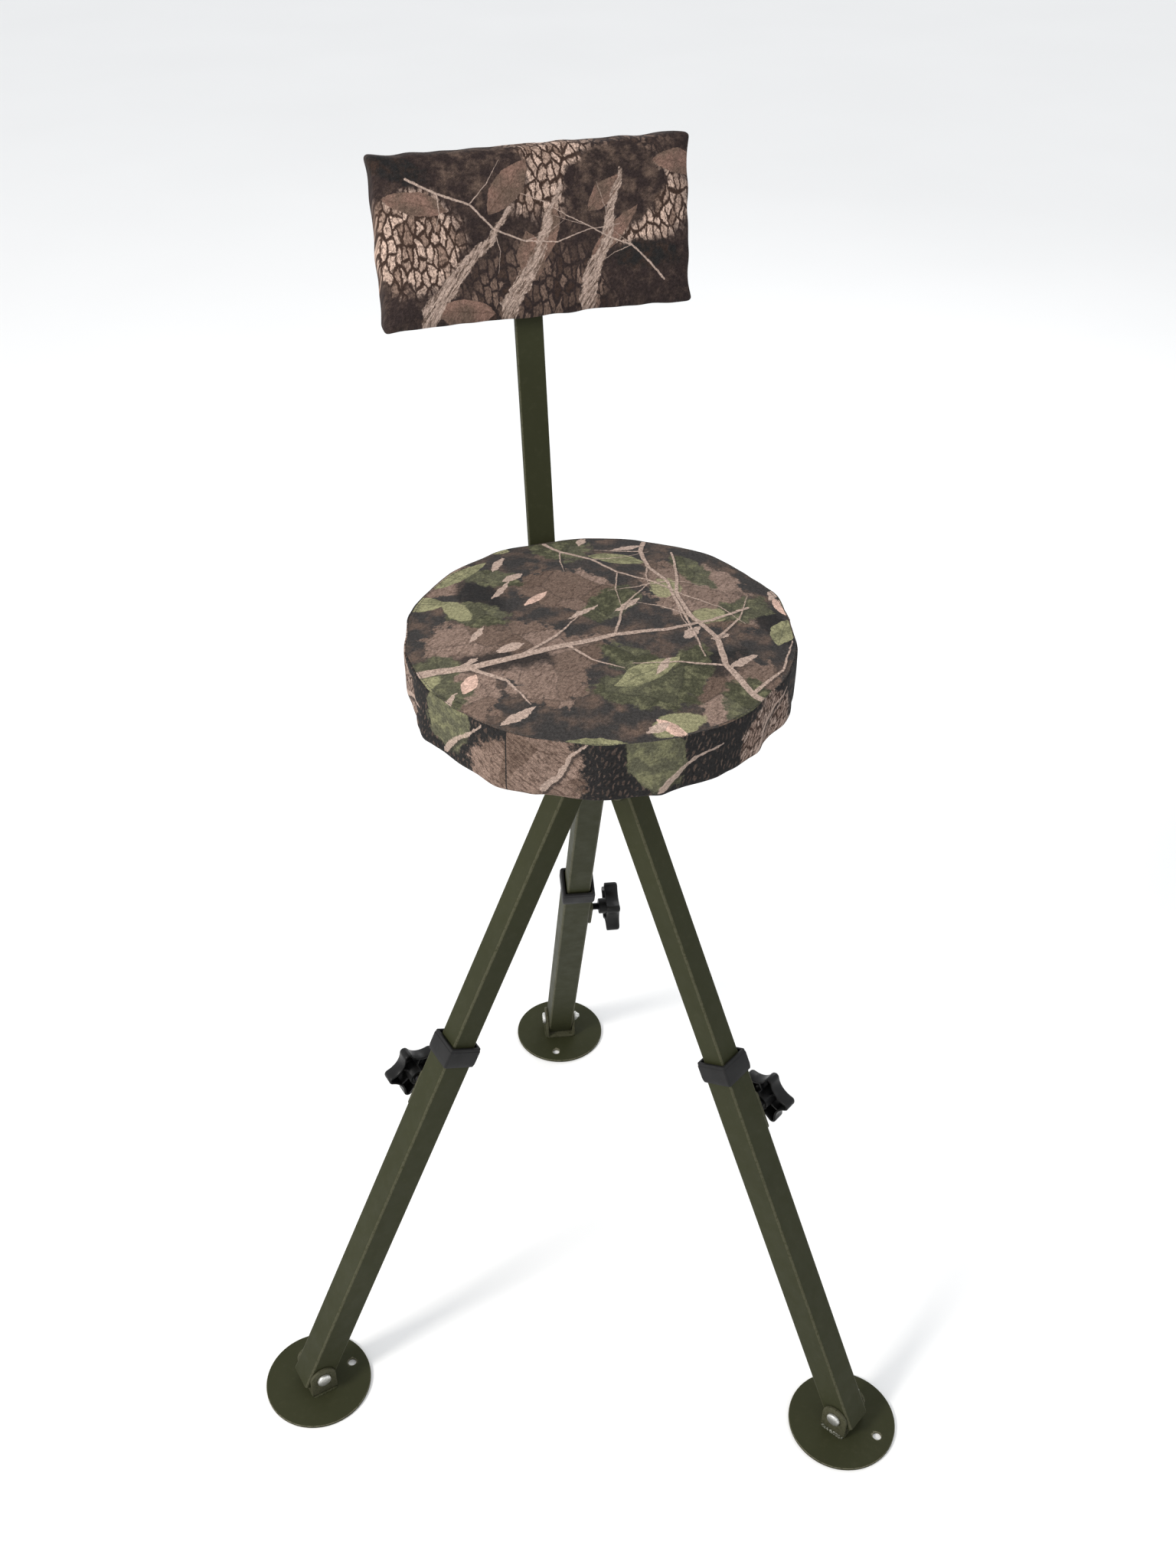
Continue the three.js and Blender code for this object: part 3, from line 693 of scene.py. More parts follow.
def make_collar(leg, local, body):
    """The moulded guide on top of the lower tube: a box ring with a step, a lip and a drawn-in hem."""
    node = f"{leg}_collar"
    low, high = extent(node, local)
    width = high.x - low.x
    lip = 3.5 * MM
    skirt = width / 2 - 15.3 * MM
    bore = width / 2 - 14.2 * MM
    # Each ring of the section: how far in from the outside, and its height.
    # Heights are from the lower end where they are positive, and from the upper end where they are negative.
    section = [
        (1.1, 0.0), (0.75, 0.35), (0.45, 1.6), (0.15, 3.2), (0.0, 5.5), (0.0, -4.0), (0.1, -3.4),
        (0.5, -3.0), (0.55, -2.6), (0.55, -0.9), (0.75, -0.35), (1.2, -0.02),
    ]
    rings = [(inset * MM, (low.z if z >= 0 else high.z) + z * MM) for inset, z in section]
    rings += [(bore - 0.5 * MM, high.z), (bore - 0.1 * MM, high.z - 0.2 * MM), (bore, high.z - 0.7 * MM)]
    rings += [(bore, high.z - lip), (skirt, high.z - lip)]
    rings += [(skirt, low.z + 0.5 * MM), (skirt - 0.4 * MM, low.z)]
    shape = [
        rounded_square(width - 2 * inset, width - 2 * inset, max(2.2 * MM - 0.5 * inset, 0.5 * MM), z)
        for inset, z in rings
    ]
    collar = mark_edges(mesh_object(f"{node}_moulding", skin(shape, closed_path=True), local, 30))
    place(collar, body, COLLAR_PLASTIC, "collar_plastic", node)


def make_boss(leg, stud, body):
    """The welded plate that the clamping stud screws through."""
    node = f"{leg}_boss"
    low, high = extent(node, stud)
    shape = plate(high.x - low.x, high.y - low.y, low.z, high.z, 3 * MM, 0.8 * MM)
    boss = mesh_object(f"{node}_plate", shape, stud)
    drill(boss, M8_HOLE, 8 * MM, stud @ moved(z=(low.z + high.z) / 2))
    painted(boss, body, node)
    for side, y in (("upper", high.y), ("lower", low.y)):
        reach = high.x * 0.8
        path = line((-reach, y, low.z), (reach, y, low.z))
        weld(f"{node}_weld_{side}", path, 1.5 * MM, stud, body, seed=y * 900)


# ---- Clamping knob ----
KNOB_LOBES = 5
KNOB_TURN = math.radians(51)
KNOB_TIP = 4.5 * MM
KNOB_WAIST = 19 * MM
KNOB_WALL = 2.2 * MM
KNOB_HUB = 8.5 * MM
STUD_PITCH = 1.25 * MM


def star_loop(radius, inset, z):
    """A star: round tips of one radius joined by hollow arcs that run smoothly into them."""
    per_arc = 9
    half = math.pi / KNOB_LOBES
    tip_centre = radius - KNOB_TIP
    span = tip_centre * math.cos(half)
    hollow = (KNOB_WAIST ** 2 + tip_centre ** 2 - 2 * KNOB_WAIST * span - KNOB_TIP ** 2)
    hollow /= 2 * (KNOB_TIP + span - KNOB_WAIST)
    hollow_centre = KNOB_WAIST + hollow
    lean = math.atan2(hollow_centre * math.sin(half), hollow_centre * math.cos(half) - tip_centre)
    points = []
    for lobe in range(KNOB_LOBES):
        turn = 2 * half * lobe
        for step in range(per_arc):
            angle = turn - lean + 2 * lean * step / per_arc
            r = KNOB_TIP - inset
            points.append((tip_centre * math.cos(turn) + r * math.cos(angle),
                           tip_centre * math.sin(turn) + r * math.sin(angle), z))
        start = turn + lean + math.pi
        sweep = 2 * (half - lean)
        for step in range(per_arc):
            angle = start + sweep * step / per_arc
            r = hollow + inset
            points.append((hollow_centre * math.cos(turn + half) + r * math.cos(angle),
                           hollow_centre * math.sin(turn + half) + r * math.sin(angle), z))
    return points


def onto_circle(loop, radius, z):
    """The points of a loop drawn in to a circle, each at its own angle."""
    return [(radius * x / math.hypot(x, y), radius * y / math.hypot(x, y), z) for x, y, _ in loop]


def knob_bmesh(radius, low, high):
    """A star knob along +Z: a hub, then a shell with a hollow back, a rounded rim and a domed face."""
    rim = low + 7 * MM
    floor = high - 4 * MM
    bore_end = rim + 8 * MM
    bore = M8_HOLE
    # The stud's bore and the hub as radii and heights, then the star's inside and outside as insets.
    core = [(bore * 0.5, bore_end), (bore, bore_end - 0.4 * MM)]
    core += [(bore, low + 0.5 * MM), (bore + 0.5 * MM, low)]
    core += [(KNOB_HUB - 0.9 * MM, low), (KNOB_HUB - 0.2 * MM, low + 0.25 * MM), (KNOB_HUB, low + 1.0 * MM)]
    core += [(KNOB_HUB + 0.2 * MM, floor - 1.2 * MM), (KNOB_HUB + 1.4 * MM, floor)]
    shell = [(KNOB_WALL + 0.9 * MM, floor), (KNOB_WALL, floor - 0.7 * MM), (KNOB_WALL, rim + 0.8 * MM)]
    shell += [(KNOB_WALL - 0.45 * MM, rim + 0.1 * MM), (0.9 * MM, rim), (0.35 * MM, rim + 0.15 * MM)]
    shell += [(0.0, rim + 0.8 * MM), (0.0, high - 3.2 * MM), (0.35 * MM, high - 2.0 * MM)]
    shell += [(1.1 * MM, high - 1.1 * MM), (2.3 * MM, high - 0.6 * MM), (5.0 * MM, high - 0.25 * MM)]
    loop = star_loop(radius, 0.0, 0.0)
    rings = [onto_circle(loop, r, z) for r, z in core] + [star_loop(radius, inset, z) for inset, z in shell]
    rings += [onto_circle(loop, 8 * MM, high - 0.05 * MM), onto_circle(loop, 2 * MM, high)]
    return skin(rings)


def make_knob(leg):
    stud = knob_frame(leg)
    body = f"{leg}_clamp"
    node = f"{leg}_knob"
    low, high = extent(node, stud)
    radius = max(-low.x, high.x, -low.y, high.y)
    turned_star = Matrix.Rotation(KNOB_TURN, 4, "Z")
    knob = mesh_object(f"{node}_star", knob_bmesh(radius, low.z, high.z), turned_star, smooth_angle=50)
    for lobe in range(KNOB_LOBES):
        turn = KNOB_TURN + math.radians(360 * (lobe + 0.5) / KNOB_LOBES)
        length = KNOB_WAIST - KNOB_HUB + 1 * MM
        rib = plate(length, 2 * MM, low.z + 9 * MM, high.z - 3.5 * MM, 0.4 * MM, 0.3 * MM)
        place_rib = Matrix.Rotation(turn, 4, "Z") @ moved(x=(KNOB_WAIST + KNOB_HUB) / 2 - 1 * MM)
        boolean(knob, mesh_object("rib", rib, place_rib), "UNION")
    knob.data.transform(stud)
    place(mark_edges(knob), body, KNOB_PLASTIC, "knob_plastic", node)
    node = f"{leg}_stud"
    low, high = extent(node, stud)
    rod = mesh_object(f"{node}_thread", threaded_rod(high.x, low.z, high.z, STUD_PITCH), stud, 60)
    place(rod, body, BLACK_STEEL, "black_steel", node)


# ---- Foot ----
def make_foot(leg):
    local = foot_frame(leg)
    body = f"{leg}_foot"
    make_disc(leg, local, body)
    node = f"{leg}_foot_bracket"
    low, high = extent(node, local)
    inside = high.y - low.y - 2 * SHEET
    bracket = u_bracket(f"{node}_fold", inside, high.x - low.x, low.z, M6_HOLE, local)
    painted(bracket, body, node)
    ground = low.z - 0.1 * MM
    for side, y in (("head", high.y), ("nut", low.y)):
        path = line((low.x + 1 * MM, y * 0.99, ground), (high.x - 1 * MM, y * 0.99, ground))
        paint = CHIPPED if leg == "right" else OLIVE
        weld(f"{node}_weld_{side}", path, 1.9 * MM, local, body, seed=y * 700, paint=paint)
    bolt_pair(leg, "foot", body, local, M6_BOLT)


def peg_hole(leg):
    """The middle of the hole for a ground peg, from the record."""
    openings = {opening["name"]: opening["box_m"] for opening in frame["record"]["physics"]["openings"]}
    low, high = openings[f"{leg}_peg_hole"]
    return (Vector(low) + Vector(high)) / 2


def make_disc(leg, local, body):
    """The flat disc under the foot, with a rounded rim and its hole for a ground peg."""
    node = f"{leg}_foot_disc"
    low, high = extent(node, local)
    radius = (high.y - low.y) / 2
    profile = [(0, low.z), (radius, low.z), (radius, high.z), (0, high.z)]
    inner = [circle(r * MM, high.z, 120) for r in (52, 45, 30, 15)]
    outline = fillet(profile, 0.7 * MM)[1:-1]
    rings = [circle(15 * MM, low.z, 120)] + [circle(r, z, 120) for r, z in outline] + inner
    disc = mesh_object(f"{node}_plate", skin(rings), local)
    drill(disc, PEG_HOLE, 8 * MM, Matrix.Translation(peg_hole(leg)))
    ease(disc, 0.3 * MM, 2, 50)
    # The rim and the hole's edge are painted lighter: worn paint and a painted highlight where the rim catches the
    # light.
    place(mark_edges(disc), body, RUBBED_AND_HIGHLIT, "olive_paint", node)


def bolt_pair(leg, where, body, local, radius):
    """The bolt and the locking nut at a pivot: a plain domed bolt head at the foot, a hexagon at the hub."""
    bolt_node = f"{leg}_{where}_bolt"
    nut_node = f"{leg}_{where}_nut"
    low, high = extent(bolt_node, local)
    nut_low, nut_high = extent(nut_node, local)
    width = high.x - low.x
    across = nut_high.x - nut_low.x
    flats = min(across, nut_high.z - nut_low.z)
    head = BUTTON_HEAD if where == "foot" else HEX_HEAD
    seat = high.y - head
    length = seat - low.y
    if where == "foot":
        bolt = domed_bolt(radius, width / 2 + BUTTON_EXTRA, head, length)
    else:
        bolt = hex_bolt(radius, min(width, high.z - low.z), head, length)
    bolt = mesh_object(f"{bolt_node}_turned", bolt, local @ moved(y=seat) @ ACROSS)
    place(bolt, body, ZINC, "zinc", bolt_node)
    nut = locking_nut(radius, flats, nut_high.y - nut_low.y)
    nut = mesh_object(f"{nut_node}_turned", nut, local @ moved(y=nut_high.y) @ ACROSS)
    place(nut, body, ZINC, "zinc", nut_node)


# ---- Hub ----
def make_clevis(leg):
    local = clevis_frame(leg)
    node = f"{leg}_clevis"
    low, high = extent(node, local)
    inside = high.y - low.y - 2 * SHEET
    bracket = u_bracket(f"{node}_fold", inside, high.x - low.x, -high.z, M8_HOLE, local @ UPSIDE_DOWN)
    painted(bracket, "hub", node)
    for side, y in (("head", high.y), ("nut", low.y)):
        path = line((low.x + 1 * MM, y * 0.99, high.z), (high.x - 1 * MM, y * 0.99, high.z))
        weld(f"{node}_weld_{side}", path, 1.8 * MM, local, "hub", seed=y * 500)
    bolt_pair(leg, "hub", "hub", local, M8_BOLT)


def about_swivel(node):
    """A node's outer radius, lowest and highest points about the swivel axis."""
    low, high = extent(node, SEAT)
    return max(-low.x, high.x), low.z, high.z


def ring_profile(outer, inner, low, high):
    return [(outer, low), (outer, high), (inner, high), (inner, low)]


def turned_piece(name, profile, material, slot, body, node, edge=0.4 * MM):
    piece = mesh_object(name, turned(profile, edge, 96), SEAT)
    if material is OLIVE:
        mark_edges(piece)
    return place(piece, body, material, slot, node)


def make_hub():
    radius, low, high = about_swivel("hub_plate")
    profile = ring_profile(radius, M8_HOLE, low, high)
    turned_piece("hub_plate_disc", profile, OLIVE, "olive_paint", "hub", "hub_plate")
    sleeve, sleeve_low, sleeve_high = about_swivel("hub_sleeve")
    profile = ring_profile(sleeve, 18.3 * MM, sleeve_low, sleeve_high)
    turned_piece("hub_sleeve_tube", profile, OLIVE, "olive_paint", "hub", "hub_sleeve", 0.6 * MM)
    weld("hub_sleeve_weld", circle(sleeve, high, 110), 2.0 * MM, SEAT, "hub", closed=True)
    flange, low, high = about_swivel("upper_bush")
    bore = 14.3 * MM
    barrel = 18 * MM
    seat = sleeve_high + 0.3 * MM
    profile = [(bore, low), (barrel, low), (barrel, seat), (flange, seat), (flange, high), (bore, high)]
    turned_piece("upper_bush_moulding", profile, NYLON, "nylon", "hub", "upper_bush")
    barrel, low, high = about_swivel("lower_bush")
    profile = ring_profile(barrel, bore, low, high)
    turned_piece("lower_bush_moulding", profile, NYLON, "nylon", "hub", "lower_bush")
    for leg in LEGS:
        make_clevis(leg)


# ---- Seat frame ----
BOARD_RADIUS, BOARD_LOW, BOARD_TOP = about_swivel("seat_board")
CUSHION_RADIUS, CUSHION_LOW, CUSHION_TOP = about_swivel("seat_cushion")


def make_spindle():
    flange, low, high = about_swivel("swivel_spindle")
    shoulder_low = about_swivel("upper_bush")[2] + 0.3 * MM
    shoulder_high = shoulder_low + 5 * MM
    neck = 20 * MM
    shaft = 14 * MM
    bore = M8_HOLE
    profile = [(bore, low), (shaft, low), (shaft, shoulder_low), (flange, shoulder_low)]
    profile += [(flange, shoulder_high), (neck, shoulder_high), (neck, high), (bore, high)]
    turned_piece("swivel_spindle_turned", profile, OLIVE, "olive_paint", "seat", "swivel_spindle", 0.8 * MM)
    weld("spindle_weld", circle(neck, high, 100), 1.8 * MM, SEAT, "seat", closed=True)
    radius, low, high = about_swivel("retaining_washer")
    profile = ring_profile(radius, bore, low, high)
    turned_piece("retaining_washer_disc", profile, ZINC, "zinc", "seat", "retaining_washer", 0.25 * MM)
    radius, low, high = about_swivel("retaining_bolt")
    bolt = hex_bolt(M8_BOLT, radius * 1.73, HEX_HEAD, high - low - HEX_HEAD)
    bolt = mesh_object("retaining_bolt_turned", bolt, SEAT @ moved(z=low + HEX_HEAD))
    place(bolt, "seat", ZINC, "zinc", "retaining_bolt")


def make_seat_frame():
    painted(refined("seat_plate", "seat_plate_sheet", 0.6 * MM), "seat", "seat_plate")
    profile = [(0, BOARD_LOW), (BOARD_RADIUS, BOARD_LOW), (BOARD_RADIUS, BOARD_TOP), (0, BOARD_TOP)]
    board = mesh_object("seat_board_ply", turned(profile, 0.8 * MM, 128), SEAT)
    place(board, "seat", PLYWOOD, "plywood", "seat_board")
    for side in ("left", "right"):
        node = f"seat_screw_{side}"
        low, high = extent(node, SEAT)
        head = 3 * MM
        centre = (low + high) / 2
        screw = domed_bolt(2.5 * MM, (high.x - low.x) / 2, head, high.z - low.z - head, 2.6 * MM)
        screw = mesh_object(f"{node}_turned", screw, SEAT @ moved(centre.x, centre.y, low.z + head))
        place(screw, "seat", ZINC, "zinc", node)
    for spot in ("front", "rear"):
        node = f"post_bolt_{spot}"
        low, high = extent(node, SEAT)
        head = 2.5 * MM
        centre = (low + high) / 2
        bolt = domed_bolt(M6_BOLT, (high.x - low.x) / 2, head, high.z - low.z - head)
        under_head = moved(centre.x, centre.y, high.z - head)
        bolt = mesh_object(f"{node}_turned", bolt, SEAT @ under_head @ UPSIDE_DOWN)
        place(bolt, "seat", ZINC, "zinc", node)
        node = f"post_nut_{spot}"
        low, high = extent(node, SEAT)
        nut = locking_nut(M6_BOLT, min(high.x - low.x, high.y - low.y), high.z - low.z)
        nut = mesh_object(f"{node}_turned", nut, SEAT @ moved(centre.x, centre.y, high.z) @ UPSIDE_DOWN)
        place(nut, "seat", ZINC, "zinc", node)


# ---- Back post ----
def bent(start, corner, end, radius):
    """A straight path with one round bend, as points and directions."""
    steps = 16
    before = (corner - start).normalized()
    after = (end - corner).normalized()
    turn = before.angle(after)
    reach = radius * math.tan(turn / 2)
    bend_start = corner - before * reach
    inwards = (after - before * before.dot(after)).normalized()
    centre = bend_start + inwards * radius
    path = [(start, before), (bend_start.lerp(start, 0.5), before)]
    for step in range(steps + 1):
        angle = turn * step / steps
        point = centre - inwards * radius * math.cos(angle) + before * radius * math.sin(angle)
        path.append((point, before * math.cos(angle) + inwards * math.sin(angle)))
    return path + [(path[-1][0].lerp(end, 0.5), after), (end, after)]


def post_frames():
    """The post's middle line, from under the seat round its bend to its top behind the pad."""
    low, high = extent("back_post", SEAT)
    thickness = 6 * MM
    along = extent("back_post", PAD)
    plane = along[1].y - thickness / 2
    inverse = SEAT.inverted()
    post_x = (along[0].x + along[1].x) / 2
    foot = inverse @ (PAD @ Vector((post_x, plane, -0.3)))
    tip = inverse @ (PAD @ Vector((post_x, plane, along[1].z)))
    level = low.z + thickness / 2
    corner = foot.lerp(tip, (level - foot.z) / (tip.z - foot.z))
    return bent(Vector((0, low.y, level)), corner, tip, 14 * MM), high.x - low.x, thickness


def make_post():
    path, width, thickness = post_frames()
    across = Vector((1, 0, 0))
    ease_in = 0.6 * MM
    start, direction = path[0]
    end, up = path[-1]
    stops = [(start, direction, ease_in), (start + direction * ease_in, direction, 0.0)]
    stops += [(point, way, 0.0) for point, way in path[1:-1]]
    stops += [(end - up * ease_in, up, 0.0), (end, up, ease_in)]
    rings = []
    for point, way, inset in stops:
        normal = way.cross(across)
        loop = rounded_square(width - 2 * inset, thickness - 2 * inset, 1.1 * MM, 0, 0.8 * MM, 4)
        rings.append([point + across * x + normal * y for x, y, _ in loop])
    post = mesh_object("back_post_bar", skin(rings), SEAT)
    painted(post, "seat", "back_post")


def make_back_frame():
    low, high = extent("back_board", PAD)
    depth = high.y - low.y
    shape = plate(high.x - low.x, high.z - low.z, 0, depth, 10 * MM, 0.8 * MM)
    board = mesh_object("back_board_ply", shape, PAD @ moved(y=high.y, z=(high.z + low.z) / 2) @ ACROSS)
    place(board, "seat", PLYWOOD, "plywood", "back_board")
    for spot in ("lower", "upper"):
        node = f"back_screw_{spot}"
        low, high = extent(node, PAD)
        head = 2.5 * MM
        screw = domed_bolt(2.5 * MM, (high.x - low.x) / 2, head, high.y - low.y - head, 2.6 * MM)
        spot_place = moved((low.x + high.x) / 2, high.y - head, (low.z + high.z) / 2)
        screw = mesh_object(f"{node}_turned", screw, PAD @ spot_place @ ACROSS)
        place(screw, "seat", ZINC, "zinc", node)


# ---- Soft goods ----
def subdivide(obj, levels=1):
    modifier = obj.modifiers.new("subdivide", "SUBSURF")
    modifier.levels = levels
    modifier.render_levels = levels
    return apply_modifiers(obj)


def disc_grid(count):
    """A square grid of quads stretched to a unit disc: points, faces, and the rim's points in order."""
    points = []
    for j in range(count + 1):
        for i in range(count + 1):
            x = 2 * i / count - 1
            y = 2 * j / count - 1
            points.append((x * math.sqrt(1 - y * y / 2), y * math.sqrt(1 - x * x / 2)))

    def at(i, j):
        return j * (count + 1) + i

    squares = [(i, j) for j in range(count) for i in range(count)]
    faces = [(at(i, j), at(i + 1, j), at(i + 1, j + 1), at(i, j + 1)) for i, j in squares]
    rim = [at(i, 0) for i in range(count)] + [at(count, j) for j in range(count)]
    rim += [at(i, count) for i in range(count, 0, -1)] + [at(0, j) for j in range(count, 0, -1)]
    return points, faces, rim


def swell(obj, pressure, cap, free):
    """Puffs a cover up with a short cloth simulation. free gives 0 for a held point, up to 1 elsewhere."""
    frames = 20
    rest = np.array([vertex.co for vertex in obj.data.vertices])
    freedom = np.array([free(Vector(point)) for point in rest])
    group = obj.vertex_groups.new(name="held")
    for i, share in enumerate(freedom):
        group.add([i], 1.0 - share, "REPLACE")
    cloth = obj.modifiers.new("cloth", "CLOTH")
    settings = cloth.settings
    settings.use_pressure = True
    settings.uniform_pressure_force = pressure
    settings.effector_weights.gravity = 0
    settings.quality = 5
    settings.bending_stiffness = 2
    settings.vertex_group_mass = "held"
    cloth.point_cache.frame_start = 1
    cloth.point_cache.frame_end = frames
    for frame_number in range(1, frames + 1):
        bpy.context.scene.frame_set(frame_number)
    apply_modifiers(obj)
    bpy.context.scene.frame_set(1)
    moves = np.array([vertex.co for vertex in obj.data.vertices]) - rest
    length = np.linalg.norm(moves, axis=1, keepdims=True)
    moves *= np.minimum(1.0, cap / np.maximum(length, 1e-9)) * freedom[:, None]
    obj.data.vertices.foreach_set("co", (rest + moves).astype(np.float32).ravel())
    obj.vertex_groups.clear()


HEM_REACH = 27 * MM  # how far the cover goes in under the board
SEAM_RADIUS = CUSHION_RADIUS - 2.5 * MM
SEAM_HEIGHT = CUSHION_TOP - 5.5 * MM
BAND_JOIN = math.radians(-116.5)


def hem_height(angle):
    """How low the cover reaches round the seat: it sags a little at the front left."""
    turn = angle - BAND_JOIN
    ripple = 0.9 * MM * noise.noise(Vector((math.cos(angle), math.sin(angle), 0.3)) * 6)
    return CUSHION_LOW - 0.3 * MM - 2.6 * MM * math.cos(turn) - 2.4 * MM * math.cos(2 * turn) + ripple


def seat_section(angle):
    """The cover's outline at one angle: from the rim seam down the band, under the board and back inside."""
    low = hem_height(angle)
    under = BOARD_LOW - 0.3 * MM
    sway = noise.noise(Vector((math.cos(angle), math.sin(angle), 1.7)) * 9)
    hem = BOARD_RADIUS - HEM_REACH + 3 * MM * sway
    band = [(SEAM_RADIUS + 0.4 * MM, SEAM_HEIGHT)]
    steps = 8
    for step in range(1, steps + 1):
        z = SEAM_HEIGHT + (low + 7 * MM - SEAM_HEIGHT) * step / steps
        band.append((SEAM_RADIUS + 0.6 * MM, z))
    turned_under = [(SEAM_RADIUS - 0.5 * MM, low + 3.2 * MM), (SEAM_RADIUS - 3.2 * MM, low + 0.5 * MM)]
    turned_under.append((BOARD_RADIUS - 1 * MM, min(low, under - 1.2 * MM)))
    turned_under.append((BOARD_RADIUS - 6 * MM, under - 1.2 * MM))
    inside = [(hem + 8 * MM, under - 1.2 * MM), (hem, under - 1.1 * MM), (hem, under - 0.1 * MM),
              (BOARD_RADIUS - 5 * MM, under - 0.1 * MM), (BOARD_RADIUS + 0.3 * MM, under),
              (BOARD_RADIUS + 0.3 * MM, BOARD_TOP + 0.3 * MM)]
    return band + turned_under + inside


def make_seat_cushion():
    points, faces, rim = disc_grid(48)
    bm = bmesh.new()
    band = bm.faces.layers.float.new("band")
    seam = bm.verts.layers.float.new("seam")
    crown = CUSHION_TOP - 2 * MM - SEAM_HEIGHT
    verts = []
    for x, y in points:
        r = min(1.0, math.hypot(x, y))
        z = SEAM_HEIGHT + crown * (1 - r ** 3.5)
        verts.append(bm.verts.new((SEAM_RADIUS * x, SEAM_RADIUS * y, z)))
    for face in faces:
        bm.faces.new([verts[i] for i in face])
    loop = [verts[i] for i in rim]
    for vert in loop:
        vert[seam] = 1.0
    angles = [math.atan2(v.co.y, v.co.x) for v in loop]
    sections = [seat_section(angle) for angle in angles]
    for k in range(len(sections[0])):
        ring = [bm.verts.new((s[k][0] * math.cos(a), s[k][0] * math.sin(a), s[k][1]))
                for s, a in zip(sections, angles)]
        for i in range(len(ring)):
            j = (i + 1) % len(ring)
            bm.faces.new((loop[i], loop[j], ring[j], ring[i]))[band] = 1.0
        loop = ring
    bm.faces.new(loop)[band] = 1.0
    cushion = mesh_object("seat_cushion_cover", bm, moved(SEAT.translation.x, SEAT.translation.y), 180)

    def free(point):
        if point.z < CUSHION_LOW + 3 * MM:
            return 0.0
        over_board = math.hypot(point.x - SWIVEL.x, point.y - SWIVEL.y) < BOARD_RADIUS + 1 * MM
        if over_board and point.z < BOARD_TOP + 1 * MM:
            return 0.0
        near_seam = abs(point.z - SEAM_HEIGHT) < 1.5 * MM and point.z < SEAM_HEIGHT + 0.5 * MM
        return 0.25 if near_seam else 1.0

    swell(cushion, 4.0, 4.0 * MM, free)
    rumple(cushion)
    subdivide(cushion, 2)
    return cushion


def rumple(obj):
    """The unevenness of a sewn cover over foam: dents, puckers at the seam, an uneven rim and a slack hem."""
    for vertex in obj.data.vertices:
        point = vertex.co
        out = Vector((point.x - SWIVEL.x, point.y - SWIVEL.y, 0))
        r = out.length
        if r < BOARD_RADIUS + 1 * MM and point.z < BOARD_TOP + 2 * MM:
            continue
        away = math.hypot(r - SEAM_RADIUS, point.z - SEAM_HEIGHT)
        pucker = math.exp(-away / (9 * MM)) * 0.9 * MM * noise.noise(point * 95)
        dent = 1.6 * MM * noise.noise(point * 16)
        low = min(1.0, max(0.0, (SEAM_HEIGHT - point.z) / (SEAM_HEIGHT - CUSHION_LOW)))
        slack = low * (5 * noise.noise(Vector((out.x, out.y, 0.4)) * 34) + 2 * noise.noise(out * 90))
        near_rim = max(0.0, r / SEAM_RADIUS - 0.8) / 0.2
        wobble = 3.4 * MM * noise.noise(Vector((out.x, out.y, 2.0)) * 27) * min(1.0, near_rim)
        vertex.co += out.normalized() * wobble
        if point.z > SEAM_HEIGHT + 0.3 * MM:
            vertex.co.z += dent + pucker
        else:
            vertex.co += out.normalized() * (dent + pucker + MM * slack)
            vertex.co.z -= 0.6 * MM * abs(slack)


# ---- Backrest cushion ----
PAD_LOW, PAD_HIGH = extent("back_cushion", PAD)
PAD_EDGE = 6 * MM  # the radius of the cover's edges
PAD_FULL = 2 * MM  # how far the foam fills the cover past the CAD's sides


def stations(half, step):
    """Grid lines along one side of the pad: close together round its edges and even between them."""
    near = [half - PAD_EDGE * share for share in (0, 0.3, 0.6, 1)]
    inner = near[-1]
    count = max(1, round(2 * inner / step))
    middles = [-inner + 2 * inner * i / count for i in range(1, count)]
    return [-value for value in near] + middles + list(reversed(near))


def box_grid(lines):
    """The surface of a box as quads, from its grid lines along X, Y and Z."""
    bm = bmesh.new()
    made = {}

    def vert(*index):
        if index not in made:
            made[index] = bm.verts.new([lines[axis][i] for axis, i in enumerate(index)])
        return made[index]

    for axis in range(3):
        first, second = [other for other in range(3) if other != axis]
        for side in (0, len(lines[axis]) - 1):
            for i in range(len(lines[first]) - 1):
                for j in range(len(lines[second]) - 1):
                    corners = []
                    for di, dj in ((0, 0), (1, 0), (1, 1), (0, 1)):
                        index = [side, side, side]
                        index[first] = i + di
                        index[second] = j + dj
                        corners.append(vert(*index))
                    bm.faces.new(corners)
    return bm


def rounded(point, half, radius):
    """A point of a box's surface drawn onto the same box with round edges."""
    inner = Vector([max(-(h - radius), min(h - radius, value)) for value, h in zip(point, half)])
    away = Vector(point) - inner
    return inner + away.normalized() * radius


